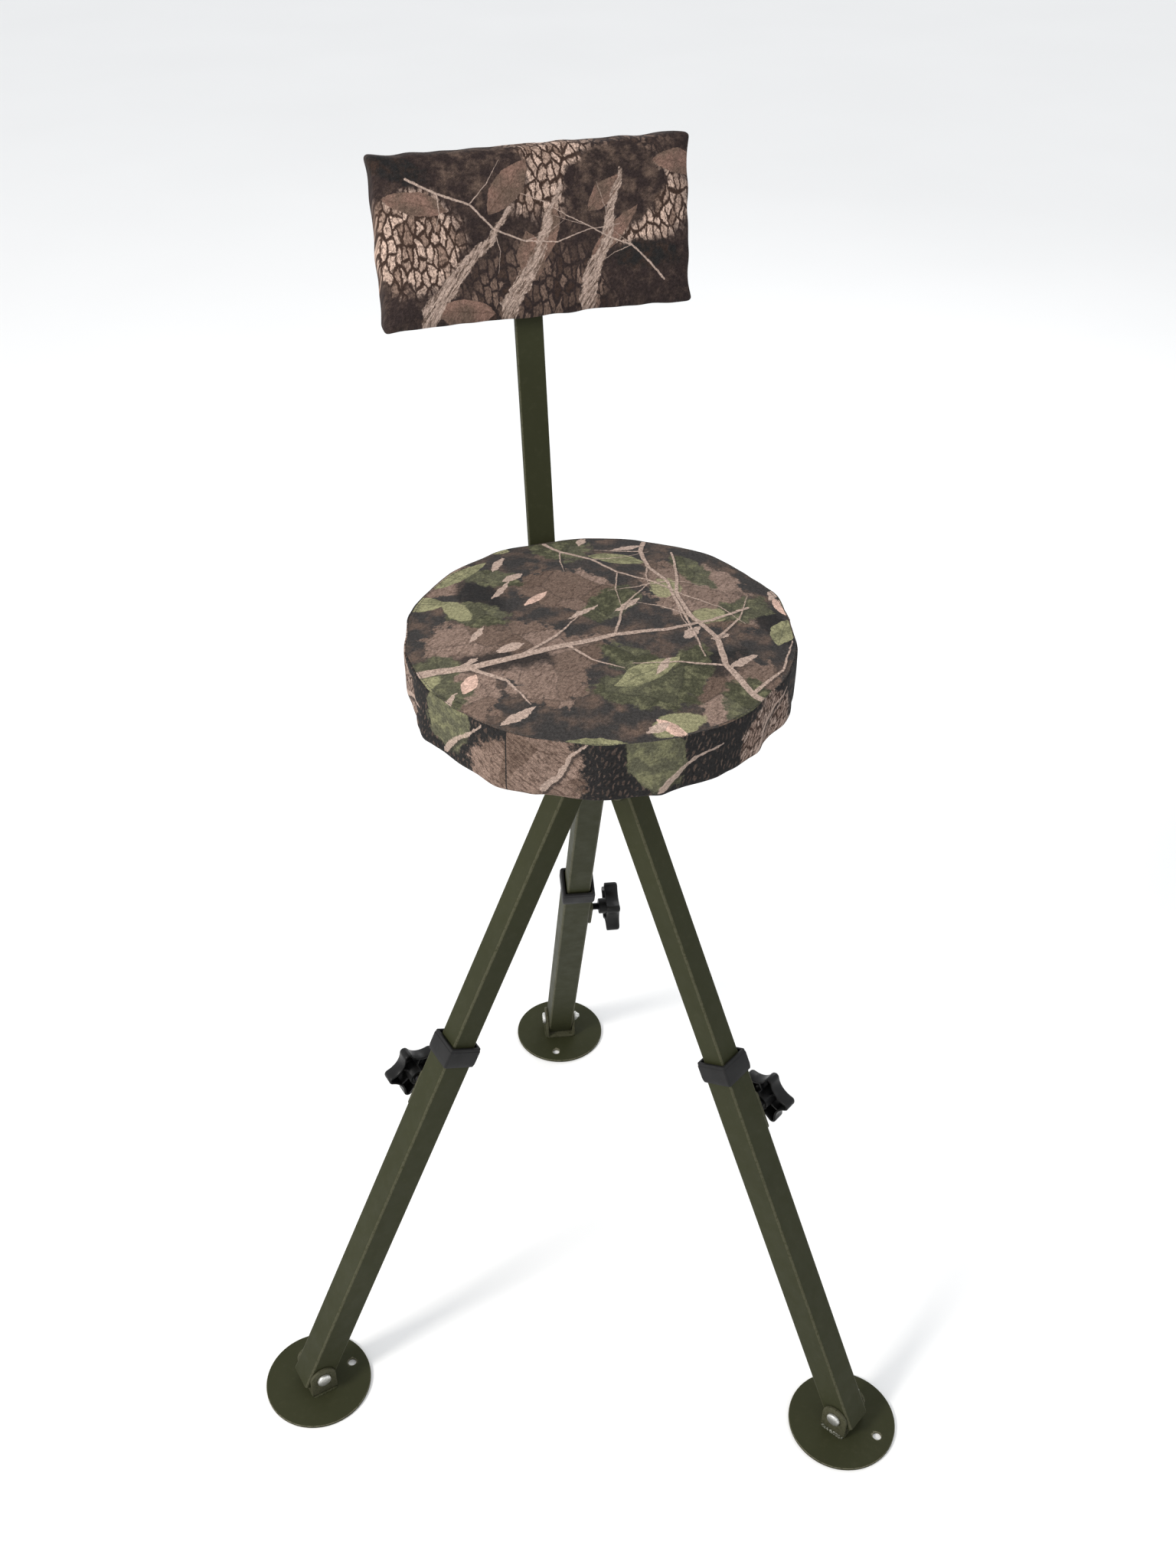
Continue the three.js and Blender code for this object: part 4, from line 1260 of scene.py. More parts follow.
def make_back_cushion():
    """A foam-faced board in a tight cover: soft front edges, gathered corners and a hollow for the post."""
    half = (PAD_HIGH - PAD_LOW) / 2
    half.x += PAD_FULL
    half.z += PAD_FULL / 2
    bm = box_grid([stations(half.x, 7 * MM), stations(half.y, 7 * MM), stations(half.z, 7 * MM)])
    for vert in bm.verts:
        point = rounded(vert.co, half, PAD_EDGE)
        ear = max(0.0, abs(point.x) / half.x + abs(point.z) / half.z - 1.86) * 34 * MM
        front = 0.5 - point.y / (2 * half.y)
        point.x += math.copysign(ear * (0.4 + 0.6 * front), point.x)
        point.z += math.copysign(ear * (0.3 + 0.3 * front), point.z)
        vert.co = point
    centre = moved(y=(PAD_LOW.y + PAD_HIGH.y) / 2)
    pad = mesh_object("back_cushion_cover", bm, PAD @ centre, 180)
    inverse = PAD.inverted()

    def free(point):
        local = inverse @ point
        return 1.0 if local.y < PAD_LOW.y + PAD_EDGE else 0.15

    swell(pad, 3.0, 3.0 * MM, free)
    for vertex in pad.data.vertices:
        local = inverse @ vertex.co
        edge = max(abs(local.x) / half.x, abs(local.z) / half.z)
        near_edge = max(0.0, edge - 0.75) / 0.25
        tuck = 2.1 * MM * noise.noise(Vector((local.x, local.y * 0.3, local.z)) * 55) * near_edge
        dent = 1.1 * MM * noise.noise(local * 22)
        fold = 0.5 * MM * noise.noise(Vector((local.x * 0.4, local.y, local.z * 1.6)) * 60)
        out = Vector((local.x / half.x, 0, local.z / half.z)) * tuck
        out.y = -(dent + fold) if local.y < 0 else 0.0
        vertex.co = PAD @ (local + out)
    subdivide(pad)
    hollow_pad(pad)
    return pad


def hollow_pad(pad):
    """Cuts the room that the board, the post and the screw heads take up inside the pad."""
    gap = 0.3 * MM
    for node, depth in (("back_board", 8 * MM), ("back_post", 6 * MM)):
        low, high = extent(node, PAD)
        low.y = high.y - depth
        low.z = max(low.z, PAD_LOW.z - 5 * MM)
        width = high.x - low.x + 2 * gap
        height = high.z - low.z + 2 * gap
        tool = plate(width, height, 0, high.y - low.y + 2 * gap, 3 * MM, 0.5 * MM)
        spot = moved((low.x + high.x) / 2, high.y + gap, (low.z + high.z) / 2)
        boolean(pad, mesh_object("room", tool, PAD @ spot @ ACROSS))


# ---- Camouflage print ----
# A generic woodland print of litter leaves, bark and bare branches. Seeded chance places the leaves and the
# patches, and bends the branches on from starting points that are simply spread over the cloth.
# Places and sizes are millimetres on the cloth; on the seat they run right and back from its middle.
CHARCOAL = (0.036, 0.033, 0.032)
SOOT = (0.016, 0.015, 0.015)
UMBER = (0.115, 0.078, 0.06)
BROWN = (0.245, 0.172, 0.14)
PINK = (0.56, 0.38, 0.31)
TWIG = (0.4, 0.3, 0.25)
PALE = (0.37, 0.28, 0.235)
LIME = (0.25, 0.238, 0.135)
MOSS = (0.14, 0.136, 0.078)
FERN = (0.076, 0.074, 0.049)
PINE = (0.048, 0.048, 0.029)
SCALE = (0.52, 0.38, 0.31)
DIM_SCALE = (0.23, 0.155, 0.12)
CRACK = (0.04, 0.024, 0.018)
LOAM = (0.026, 0.018, 0.017)
RUSSET = (0.19, 0.115, 0.09)


def shifted(nodes, where, origin, axes):
    """Coordinates on a flat piece of cloth, in millimetres along two axes from an origin."""
    local = nodes.vector("SUBTRACT", where, tuple(origin))
    join = nodes.add("ShaderNodeCombineXYZ")
    for socket, axis in zip(join.inputs, axes):
        nodes.link(nodes.vector("DOT_PRODUCT", local, tuple(Vector(axis) / MM)), socket)
    return join.outputs[0]


def split(nodes, vector):
    parts = nodes.add("ShaderNodeSeparateXYZ")
    nodes.link(vector, parts.inputs[0])
    return parts.outputs


def wander(nodes, point, amount, size):
    """Shifts points about by up to half an amount, over distances of about one size."""
    colour = nodes.noise(point, 1 / size, 3.0, 0.55, "Color")
    shift = nodes.vector("SUBTRACT", colour, (0.5, 0.5, 0.5))
    return nodes.vector("ADD", point, nodes.scale(shift, amount))


def stretched(nodes, point, long, wide, turn):
    """Coordinates for a texture that is drawn out along one direction."""
    mapping = nodes.add("ShaderNodeMapping", vector_type="TEXTURE")
    nodes.link(point, mapping.inputs["Vector"])
    mapping.inputs["Rotation"].default_value = (0, 0, math.radians(turn))
    mapping.inputs["Scale"].default_value = (long, wide, 1)
    return mapping.outputs[0]


def oval_axes(x, y, long, wide, turn):
    """What oval_places needs of an oval: each axis over its half size, and where its middle lies on it."""
    values = []
    for half, angle in ((long / 2, turn), (wide / 2, turn + 90)):
        axis = Vector((math.cos(math.radians(angle)), math.sin(math.radians(angle)), 0)) / half
        values += [tuple(axis), axis.x * x + axis.y * y]
    return values


def oval_places(nodes, point, along_axis, along_at, across_axis, across_at):
    """How far a point is along and across an oval, as shares of its half length and half width."""
    along = nodes.math("SUBTRACT", nodes.vector("DOT_PRODUCT", point, along_axis), along_at)
    across = nodes.math("SUBTRACT", nodes.vector("DOT_PRODUCT", point, across_axis), across_at)
    return along, across


OVAL_INPUTS = ("Point vector", "Along vector", "Along at", "Across vector", "Across at")


def node_group(name, inputs, outputs, build):
    """A group of nodes to use over and over. build takes its nodes and inputs, and gives its outputs."""
    tree = bpy.data.node_groups.new(name, "ShaderNodeTree")
    for label in inputs:
        kind = "NodeSocketVector" if label.endswith("vector") else "NodeSocketFloat"
        tree.interface.new_socket(label, in_out="INPUT", socket_type=kind)
    for label in outputs:
        tree.interface.new_socket(label, in_out="OUTPUT", socket_type="NodeSocketFloat")
    nodes = Nodes(tree)
    entry = nodes.add("NodeGroupInput")
    found = build(nodes, *[entry.outputs[label] for label in inputs])
    leave = nodes.add("NodeGroupOutput")
    for socket, value in zip(leave.inputs, found):
        nodes.link(value, socket)
    return tree


def oval_step(nodes, point, along_axis, along_at, across_axis, across_at, nearest):
    """The lesser of the nearest oval so far and this one, as squared distances."""
    along, across = oval_places(nodes, point, along_axis, along_at, across_axis, across_at)
    square = nodes.math("MULTIPLY_ADD", across, across, nodes.math("MULTIPLY", along, along))
    return [nodes.math("MINIMUM", square, nearest)]


def leaf_step(nodes, point, along_axis, along_at, across_axis, across_at, cover, veins):
    """Adds one pointed leaf with a midrib and side veins."""
    along, across = oval_places(nodes, point, along_axis, along_at, across_axis, across_at)
    aside = nodes.math("ABSOLUTE", across)
    arc = nodes.math("SUBTRACT", 1.0, nodes.math("MULTIPLY", along, along))
    inside = nodes.math("SUBTRACT", arc, aside)
    cover = nodes.math("MAXIMUM", nodes.smooth(inside, 0.0, 0.06), cover)
    slant = nodes.math("MULTIPLY_ADD", aside, -0.5, along)
    side = nodes.smooth(nodes.math("SINE", nodes.math("MULTIPLY", slant, 19.0)), 0.86, 1.0, 0.0, 0.6)
    rib = nodes.math("MAXIMUM", nodes.smooth(aside, 0.07, 0.02), side)
    veins = nodes.math("MAXIMUM", nodes.math("MULTIPLY", rib, nodes.smooth(inside, 0.0, 0.2)), veins)
    return [cover, veins]


def stroke_step(nodes, point, along_axis, along_at, across_axis, across_at, length, half, taper, nearest):
    """The lesser of the nearest line so far and one straight, tapering stretch."""
    along, across = oval_places(nodes, point, along_axis, along_at, across_axis, across_at)
    beyond = nodes.math("SUBTRACT", nodes.math("ABSOLUTE", nodes.math("SUBTRACT", along, 0.5)), 0.5)
    beyond = nodes.math("MAXIMUM", beyond, 0.0)
    away = nodes.math("MULTIPLY_ADD", beyond, length, nodes.math("ABSOLUTE", across))
    reach = nodes.math("MULTIPLY_ADD", along, taper, half)
    return [nodes.math("MINIMUM", nodes.math("SUBTRACT", away, reach), nearest)]


OVAL_STEP = node_group("oval_step", (*OVAL_INPUTS, "Nearest"), ("Nearest",), oval_step)
LEAF_STEP = node_group("leaf_step", (*OVAL_INPUTS, "Cover", "Veins"), ("Cover", "Veins"), leaf_step)
STROKE_INPUTS = (*OVAL_INPUTS, "Length", "Half", "Taper", "Nearest")
STROKE_STEP = node_group("stroke_step", STROKE_INPUTS, ("Nearest",), stroke_step)


def patches(nodes, point, ragged, spots, soft=0.06, tear=0.9):
    """Covers some ovals with torn outlines."""
    nearest = 99.0
    for spot in spots:
        nearest = nodes.group(OVAL_STEP, point, *oval_axes(*spot), nearest)[0]
    torn = nodes.math("MULTIPLY_ADD", ragged, tear, nodes.math("SQRT", nearest))
    return nodes.smooth(torn, 1 + tear / 2 + soft, 1 + tear / 2 - soft)


def leaves(nodes, point, spots):
    """Covers some pointed leaves, and the veins on them."""
    cover = 0.0
    veins = 0.0
    for spot in spots:
        cover, veins = nodes.group(LEAF_STEP, point, *oval_axes(*spot), cover, veins)
    return cover, veins


def strokes(nodes, point, paths, soft=0.35):
    """Covers some tapering lines, each a row of stops with a place and a half width."""
    nearest = 99.0
    for path in paths:
        for (x0, y0, w0), (x1, y1, w1) in zip(path, path[1:]):
            length = math.hypot(x1 - x0, y1 - y0)
            turn = math.degrees(math.atan2(y1 - y0, x1 - x0))
            axes = oval_axes(x0, y0, 2 * length, 2, turn)
            nearest = nodes.group(STROKE_STEP, point, *axes, length, w0, w1 - w0, nearest)[0]
    return nodes.smooth(nearest, soft, -soft)


def cells(nodes, point, feature, scale=1.0):
    """A flat cell pattern, as the outputs of its node."""
    node = nodes.add("ShaderNodeTexVoronoi", voronoi_dimensions="2D", feature=feature)
    nodes.link(point, node.inputs["Vector"])
    node.inputs["Scale"].default_value = scale
    return node.outputs


def litter(nodes, point, size):
    """Overlapping fallen leaves: a tone for each, its outline and its veins."""
    found = cells(nodes, point, "F1", 1 / size)
    tone, turn, _ = split(nodes, found["Color"])
    rotate = nodes.add("ShaderNodeVectorRotate", rotation_type="Z_AXIS")
    nodes.link(nodes.vector("SUBTRACT", point, found["Position"]), rotate.inputs["Vector"])
    nodes.link(nodes.math("MULTIPLY", turn, 2 * math.pi), rotate.inputs["Angle"])
    along, across, _ = split(nodes, rotate.outputs[0])
    aside = nodes.math("ABSOLUTE", across)
    slant = nodes.math("MULTIPLY_ADD", aside, -0.8, along)
    side = nodes.smooth(nodes.math("SINE", nodes.math("MULTIPLY", slant, 26 / size)), 0.9, 1.0, 0.0, 0.55)
    veins = nodes.math("MAXIMUM", side, nodes.smooth(aside, 0.75, 0.3))
    edge = cells(nodes, point, "DISTANCE_TO_EDGE", 1 / size)["Distance"]
    outline = nodes.smooth(edge, 1.3 / size, 0.3 / size)
    return tone, outline, veins


def bark(nodes, point, wide, tall, turn, crack):
    """Plates of bark: how much of a plate shows, a tone for each plate and the speckle on it."""
    swayed = wander(nodes, wander(nodes, point, 1.1 * wide, 2.4 * wide), 0.5 * wide, 0.7 * wide)
    plates = stretched(nodes, swayed, wide, tall, turn)
    edge = cells(nodes, plates, "DISTANCE_TO_EDGE")["Distance"]
    chips = stretched(nodes, swayed, 0.42 * wide, 0.6 * tall, turn + 7)
    small = cells(nodes, chips, "DISTANCE_TO_EDGE")["Distance"]
    tone, _, _ = split(nodes, cells(nodes, plates, "F1")["Color"])
    speckle = nodes.noise(point, 0.55, 5.0, 0.72)
    width = nodes.noise(point, 0.5 / wide, 2.0)
    worn = nodes.math("MULTIPLY_ADD", speckle, -0.34, nodes.math("MULTIPLY_ADD", width, -0.26, edge))
    shown = nodes.smooth(worn, crack - 0.36, crack - 0.24)
    fine = nodes.smooth(nodes.math("MULTIPLY_ADD", speckle, -0.5, small), -0.24, -0.1, 0.35, 1.0)
    return nodes.math("MULTIPLY", shown, fine), tone, speckle


def faded(nodes, factor, amount):
    return nodes.math("MULTIPLY", factor, amount)


def woven(nodes, shader, point, base):
    """Gives a print its cloth: a fine slanting weave that takes dye unevenly, and a soft dry surface."""
    slub = nodes.noise(stretched(nodes, point, 3.0, 0.55, 52), 1.0, 2.0, 0.6)
    slub = nodes.smooth(slub, 0.32, 0.68, 0.8, 1.22)
    grain = nodes.smooth(nodes.noise(point, 1.1, 2.0, 0.6), 0.25, 0.75, 0.86, 1.14)
    grit = nodes.smooth(nodes.noise(point, 0.38, 5.0, 0.78), 0.36, 0.64, 0.7, 1.28)
    base = nodes.scale(base, nodes.math("MULTIPLY", grit, nodes.math("MULTIPLY", slub, grain)))
    nodes.link(base, shader.inputs["Base Color"])
    shader.inputs["Roughness"].default_value = 0.92
    shader.inputs["Specular IOR Level"].default_value = 0.12
    x, y = oval_places(nodes, point, *oval_axes(0, 0, 2, 2, 52))
    ridge = nodes.math("SINE", nodes.math("MULTIPLY", y, 2 * math.pi / 1.1))
    step = nodes.math("SINE", nodes.math("MULTIPLY", x, 2 * math.pi / 1.7))
    weave = nodes.math("MULTIPLY_ADD", step, 0.35, ridge)
    weave = nodes.math("MULTIPLY_ADD", nodes.noise(point, 0.9, 3.0, 0.6), 2.2, weave)
    nodes.link(nodes.bump(weave, 0.35, 0.0002), shader.inputs["Normal"])


# Corners of the pieces of cloth: the round top, the band from its join, and the front of the backrest.
SEAT_CLOTH = ((-165, -165), (165, 165))
BAND_CLOTH = ((0, 0), (1070, 54))
PAD_CLOTH = ((-128, -68), (128, 68))


def strewn(seed, columns, rows, cloth, long, wide, turn=(0, 180)):
    """Ovals strewn by chance, one to each cell of a loose grid: a place, a length, a width and a turn."""
    chance = random.Random(seed)
    (left, low), (right, high) = cloth
    spots = []
    for column in range(columns):
        for row in range(rows):
            x = left + (right - left) * (column + chance.random()) / columns
            y = low + (high - low) * (row + chance.random()) / rows
            spots.append((x, y, chance.uniform(*long), chance.uniform(*wide), chance.uniform(*turn)))
    return spots


def limb(chance, x, y, turn, reach, half, stops):
    """A line that wanders by chance and thins to its tip: stops with a place and a half width."""
    path = [(x, y, half)]
    for stop in range(1, stops + 1):
        turn += chance.uniform(-24, 24)
        x += reach / stops * math.cos(math.radians(turn))
        y += reach / stops * math.sin(math.radians(turn))
        path.append((x, y, half * (1 - 0.75 * stop / stops)))
    return path


def branch(seed, x, y, turn, reach, half):
    """A bare branch, with twigs that leave it to the right and left in turn."""
    chance = random.Random(seed)
    main = limb(chance, x, y, turn, reach, half, 7)
    paths = [main]
    for number, (x, y, width) in enumerate(main[1:5]):
        aside = turn + (45 if number % 2 else -45) + chance.uniform(-12, 12)
        paths.append(limb(chance, x, y, aside, reach * chance.uniform(0.15, 0.35), 0.5 * width, 2))
    return paths


SEAT_BROWN = strewn(11, 3, 3, SEAT_CLOTH, (70, 130), (50, 84))
SEAT_DARK = strewn(12, 2, 2, SEAT_CLOTH, (60, 110), (26, 38))
SEAT_FERN = strewn(13, 3, 4, SEAT_CLOTH, (50, 90), (26, 48))
SEAT_LIME = strewn(14, 2, 3, SEAT_CLOTH, (28, 50), (16, 28))
SEAT_LEAVES = strewn(15, 2, 3, SEAT_CLOTH, (40, 76), (14, 28))
SEAT_PINK = strewn(16, 2, 2, SEAT_CLOTH, (22, 38), (9, 18))
SEAT_FLECKS = strewn(17, 4, 5, SEAT_CLOTH, (16, 38), (6, 11), (20, 80))
SEAT_BRANCH = branch(21, -150, -70, 25, 300, 4.6) + branch(22, 150, -120, 115, 280, 3.6)
SEAT_BRANCH += branch(23, 40, 165, 240, 220, 2.4) + branch(24, -60, 160, 300, 240, 1.8)

BAND_LIGHT = strewn(31, 5, 1, BAND_CLOTH, (50, 90), (70, 110))
BAND_BROWN = strewn(32, 5, 1, BAND_CLOTH, (90, 160), (60, 100))
BAND_GREEN = strewn(33, 5, 1, BAND_CLOTH, (40, 70), (40, 70))
BAND_WAVES = [limb(random.Random(40 + number), 30 + 95 * number, 4, 50, 64, 3.0, 3) for number in range(11)]

PAD_LIGHT = strewn(51, 3, 1, PAD_CLOTH, (70, 110), (60, 90))
PAD_DIM = strewn(52, 2, 1, PAD_CLOTH, (100, 140), (90, 120))
PAD_BROWN = strewn(53, 2, 1, PAD_CLOTH, (70, 100), (50, 80))
PAD_LEAVES = strewn(54, 4, 2, PAD_CLOTH, (40, 70), (14, 26))
PAD_DARK = strewn(55, 2, 1, PAD_CLOTH, (50, 80), (16, 26))
PAD_TRUNKS = [limb(random.Random(60 + number), 70 * number - 100, -60, 55, 110, 8, 4) for number in range(3)]
PAD_TWIGS = branch(71, -110, 50, -20, 200, 1.0) + branch(72, 110, -50, 150, 150, 0.8)


def seat_top(nodes, flat):
    """The print on the top of the seat."""
    point = wander(nodes, wander(nodes, flat, 9.0, 26.0), 2.2, 3.2)
    fine = wander(nodes, wander(nodes, flat, 4.0, 22.0), 1.5, 2.4)
    ragged = nodes.noise(flat, 0.075, 5.0, 0.62)
    cloud = nodes.noise(flat, 0.03, 4.0, 0.6)
    tone, outline, veins = litter(nodes, point, 36.0)
    base = nodes.mix(nodes.smooth(cloud, 0.35, 0.7), CHARCOAL, UMBER)
    base = nodes.mix(nodes.smooth(nodes.noise(flat, 0.05, 5.0), 0.42, 0.6), CHARCOAL, base)
    earth = nodes.mix(nodes.smooth(tone, 0.1, 0.9), UMBER, BROWN)
    earth = nodes.mix(nodes.smooth(nodes.noise(flat, 0.12, 5.0, 0.7), 0.4, 0.75, 0.0, 0.6), earth, UMBER)
    earth = nodes.mix(faded(nodes, veins, 0.5), earth, UMBER)
    ribbed = nodes.noise(stretched(nodes, point, 5.0, 1.1, 62), 0.5, 4.0, 0.65)
    earth = nodes.mix(nodes.smooth(ribbed, 0.5, 0.66, 0.0, 0.55), earth, CRACK)
    brown = patches(nodes, point, ragged, SEAT_BROWN, 0.06, 1.3)
    base = nodes.mix(brown, base, earth)
    base = nodes.mix(faded(nodes, patches(nodes, point, ragged, SEAT_DARK, 0.3, 1.8), 0.85), base, SOOT)
    green = nodes.mix(nodes.smooth(tone, 0.2, 0.9), PINE, FERN)
    green = nodes.mix(nodes.smooth(nodes.noise(flat, 0.09, 5.0, 0.7), 0.45, 0.7), green, MOSS)
    ferny = patches(nodes, point, ragged, SEAT_FERN, 0.1, 1.4)
    base = nodes.mix(ferny, base, green)
    base = nodes.mix(faded(nodes, patches(nodes, point, ragged, SEAT_LIME, 0.08), 0.85), base, LIME)
    outline = nodes.math("MULTIPLY", outline, nodes.math("MAXIMUM", brown, ferny))
    base = nodes.mix(faded(nodes, outline, 0.3), base, SOOT)
    cover, rib = leaves(nodes, point, SEAT_LEAVES)
    lime = nodes.mix(nodes.smooth(ragged, 0.4, 0.62), LIME, MOSS)
    base = nodes.mix(cover, base, nodes.mix(faded(nodes, rib, 0.6), lime, FERN))
    petal, _ = leaves(nodes, fine, SEAT_PINK)
    base = nodes.mix(petal, base, nodes.mix(nodes.smooth(ragged, 0.45, 0.7, 0.0, 0.5), PINK, BROWN))
    flecks, _ = leaves(nodes, wander(nodes, fine, 7.0, 7.0), SEAT_FLECKS)
    base = nodes.mix(faded(nodes, flecks, 0.9), base, TWIG)
    shade = strokes(nodes, nodes.vector("ADD", fine, (-1.4, 1.4, 0)), SEAT_BRANCH, 0.8)
    base = nodes.mix(faded(nodes, shade, 0.45), base, SOOT)
    wood = nodes.mix(nodes.smooth(nodes.noise(flat, 0.3, 4.0, 0.7), 0.4, 0.7, 0.0, 0.6), TWIG, UMBER)
    return nodes.mix(strokes(nodes, fine, SEAT_BRANCH), base, wood)


def seat_band(nodes, flat, where):
    """The print on the band round the seat, measured to the right from the band's join."""
    x, y, _ = split(nodes, flat)
    angle = nodes.math("SUBTRACT", nodes.math("ARCTAN2", y, x), BAND_JOIN)
    round_rim = nodes.math("MULTIPLY", nodes.math("WRAP", angle, 2 * math.pi, 0.0), CUSHION_RADIUS / MM)
    above_hem = nodes.vector("SUBTRACT", where, (0, 0, CUSHION_LOW))
    height = nodes.vector("DOT_PRODUCT", above_hem, (0, 0, 1 / MM))
    join = nodes.add("ShaderNodeCombineXYZ")
    nodes.link(round_rim, join.inputs[0])
    nodes.link(height, join.inputs[1])
    strip = join.outputs[0]
    point = wander(nodes, wander(nodes, strip, 7.0, 18.0), 2.0, 3.0)
    fine = wander(nodes, wander(nodes, strip, 5.0, 9.0), 2.0, 2.4)
    ragged = nodes.noise(strip, 0.09, 5.0, 0.62)
    shown, plate_tone, speckle = bark(nodes, strip, 3.6, 10.0, -14, 0.3)
    base = nodes.mix(faded(nodes, shown, 0.32), SOOT, nodes.mix(plate_tone, UMBER, DIM_SCALE))
    light, light_tone, _ = bark(nodes, strip, 4.0, 13.0, -24, 0.12)
    pale = nodes.mix(nodes.smooth(light_tone, 0.1, 0.9), BROWN, PALE)
    pale = nodes.mix(nodes.smooth(speckle, 0.45, 0.7, 0.0, 0.7), pale, UMBER)
    base = nodes.mix(patches(nodes, point, ragged, BAND_LIGHT), base, nodes.mix(light, CRACK, pale))
    tone, _, veins = litter(nodes, point, 30.0)
    earth = nodes.mix(faded(nodes, tone, 0.8), UMBER, BROWN)
    ribbed = nodes.noise(stretched(nodes, point, 5.0, 1.1, -38), 0.5, 4.0, 0.65)
    earth = nodes.mix(nodes.smooth(ribbed, 0.46, 0.62, 0.0, 0.7), earth, CRACK)
    earth = nodes.mix(faded(nodes, veins, 0.4), earth, CRACK)
    base = nodes.mix(patches(nodes, point, ragged, BAND_BROWN), base, earth)
    green = nodes.mix(nodes.smooth(ragged, 0.42, 0.62), FERN, MOSS)
    base = nodes.mix(patches(nodes, point, ragged, BAND_GREEN), base, green)
    shade = strokes(nodes, nodes.vector("ADD", fine, (-1.5, 3.0, 0)), BAND_WAVES, 1.2)
    base = nodes.mix(faded(nodes, shade, 0.7), base, SOOT)
    base = nodes.mix(faded(nodes, strokes(nodes, fine, BAND_WAVES), 0.75), base, PALE)
    seam = nodes.math("ABSOLUTE", angle)
    base = nodes.mix(nodes.smooth(seam, 0.0045, 0.002), base, SOOT)
    return base, strip


def seat_fabric():
    material, nodes, shader, where = new_material("camouflage_seat_cloth")
    flat = shifted(nodes, where, (SWIVEL.x, SWIVEL.y, 0), ((1, 0, 0), (0, 1, 0)))
    top = seat_top(nodes, flat)
    side, strip = seat_band(nodes, flat, where)
    band = nodes.add("ShaderNodeAttribute", attribute_name="band").outputs["Fac"]
    seam = nodes.add("ShaderNodeAttribute", attribute_name="seam").outputs["Fac"]
    base = nodes.mix(band, top, side)
    base = nodes.mix(nodes.smooth(seam, 0.86, 0.97, 0.0, 0.8), base, SOOT)
    cloth = nodes.mix(band, flat, strip)
    woven(nodes, shader, cloth, base)
    return material


def pad_fabric():
    """The print on the backrest, measured right and up from the middle of its front."""
    material, nodes, shader, where = new_material("camouflage_pad_cloth")
    flat = shifted(nodes, where, PAD.translation, (PAD.col[0].xyz, PAD.col[2].xyz, -PAD.col[1].xyz))
    x, y, depth = split(nodes, flat)
    round_edge = nodes.math("MULTIPLY_ADD", nodes.math("SUBTRACT", PAD_LOW.y / -MM, depth), 0.85, y)
    join = nodes.add("ShaderNodeCombineXYZ")
    nodes.link(x, join.inputs[0])
    nodes.link(round_edge, join.inputs[1])
    cloth = join.outputs[0]
    point = wander(nodes, wander(nodes, cloth, 7.0, 22.0), 1.8, 3.0)
    fine = wander(nodes, cloth, 1.8, 4.0)
    ragged = nodes.noise(cloth, 0.085, 5.0, 0.62)
    mottle = nodes.noise(point, 0.1, 6.0, 0.68)
    base = nodes.mix(nodes.smooth(mottle, 0.44, 0.78, 0.0, 0.55), LOAM, UMBER)
    shown, tone, speckle = bark(nodes, cloth, 6.2, 13.5, 5, 0.13)
    dim = nodes.mix(tone, CRACK, DIM_SCALE)
    dim = nodes.mix(faded(nodes, shown, 0.75), LOAM, dim)
    base = nodes.mix(patches(nodes, point, ragged, PAD_DIM, 0.3), base, dim)
    pale = nodes.mix(nodes.smooth(tone, 0.0, 0.7), DIM_SCALE, SCALE)
    pale = nodes.mix(nodes.smooth(speckle, 0.5, 0.72, 0.0, 0.75), pale, UMBER)
    base = nodes.mix(patches(nodes, point, ragged, PAD_LIGHT, 0.2), base, nodes.mix(shown, CRACK, pale))
    gap = nodes.mix(nodes.smooth(ragged, 0.4, 0.75), LOAM, UMBER)
    base = nodes.mix(patches(nodes, point, ragged, PAD_BROWN, 0.1, 0.7), base, gap)
    cover, rib = leaves(nodes, point, PAD_LEAVES)
    brown = nodes.mix(nodes.smooth(nodes.noise(cloth, 0.05, 3.0), 0.4, 0.65), UMBER, RUSSET)
    base = nodes.mix(cover, base, nodes.mix(faded(nodes, rib, 0.4), brown, CRACK))
    dark = nodes.mix(nodes.smooth(mottle, 0.4, 0.75), SOOT, CRACK)
    base = nodes.mix(patches(nodes, point, ragged, PAD_DARK, 0.14, 1.1), base, dark)
    fibre = nodes.noise(stretched(nodes, point, 9.0, 1.0, 52), 0.6, 5.0, 0.7)
    frayed = wander(nodes, wander(nodes, fine, 9.0, 16.0), 3.5, 2.5)
    trunks = strokes(nodes, frayed, PAD_TRUNKS, 0.6)
    trunks = nodes.math("MULTIPLY", trunks, nodes.smooth(fibre, 0.66, 0.54, 0.2, 1.0))
    base = nodes.mix(trunks, base, nodes.mix(nodes.smooth(fibre, 0.42, 0.62), PALE, UMBER))
    base = nodes.mix(strokes(nodes, fine, PAD_TWIGS), base, PALE)
    woven(nodes, shader, cloth, base)
    return material


SEAT_FABRIC = seat_fabric()
PAD_FABRIC = pad_fabric()


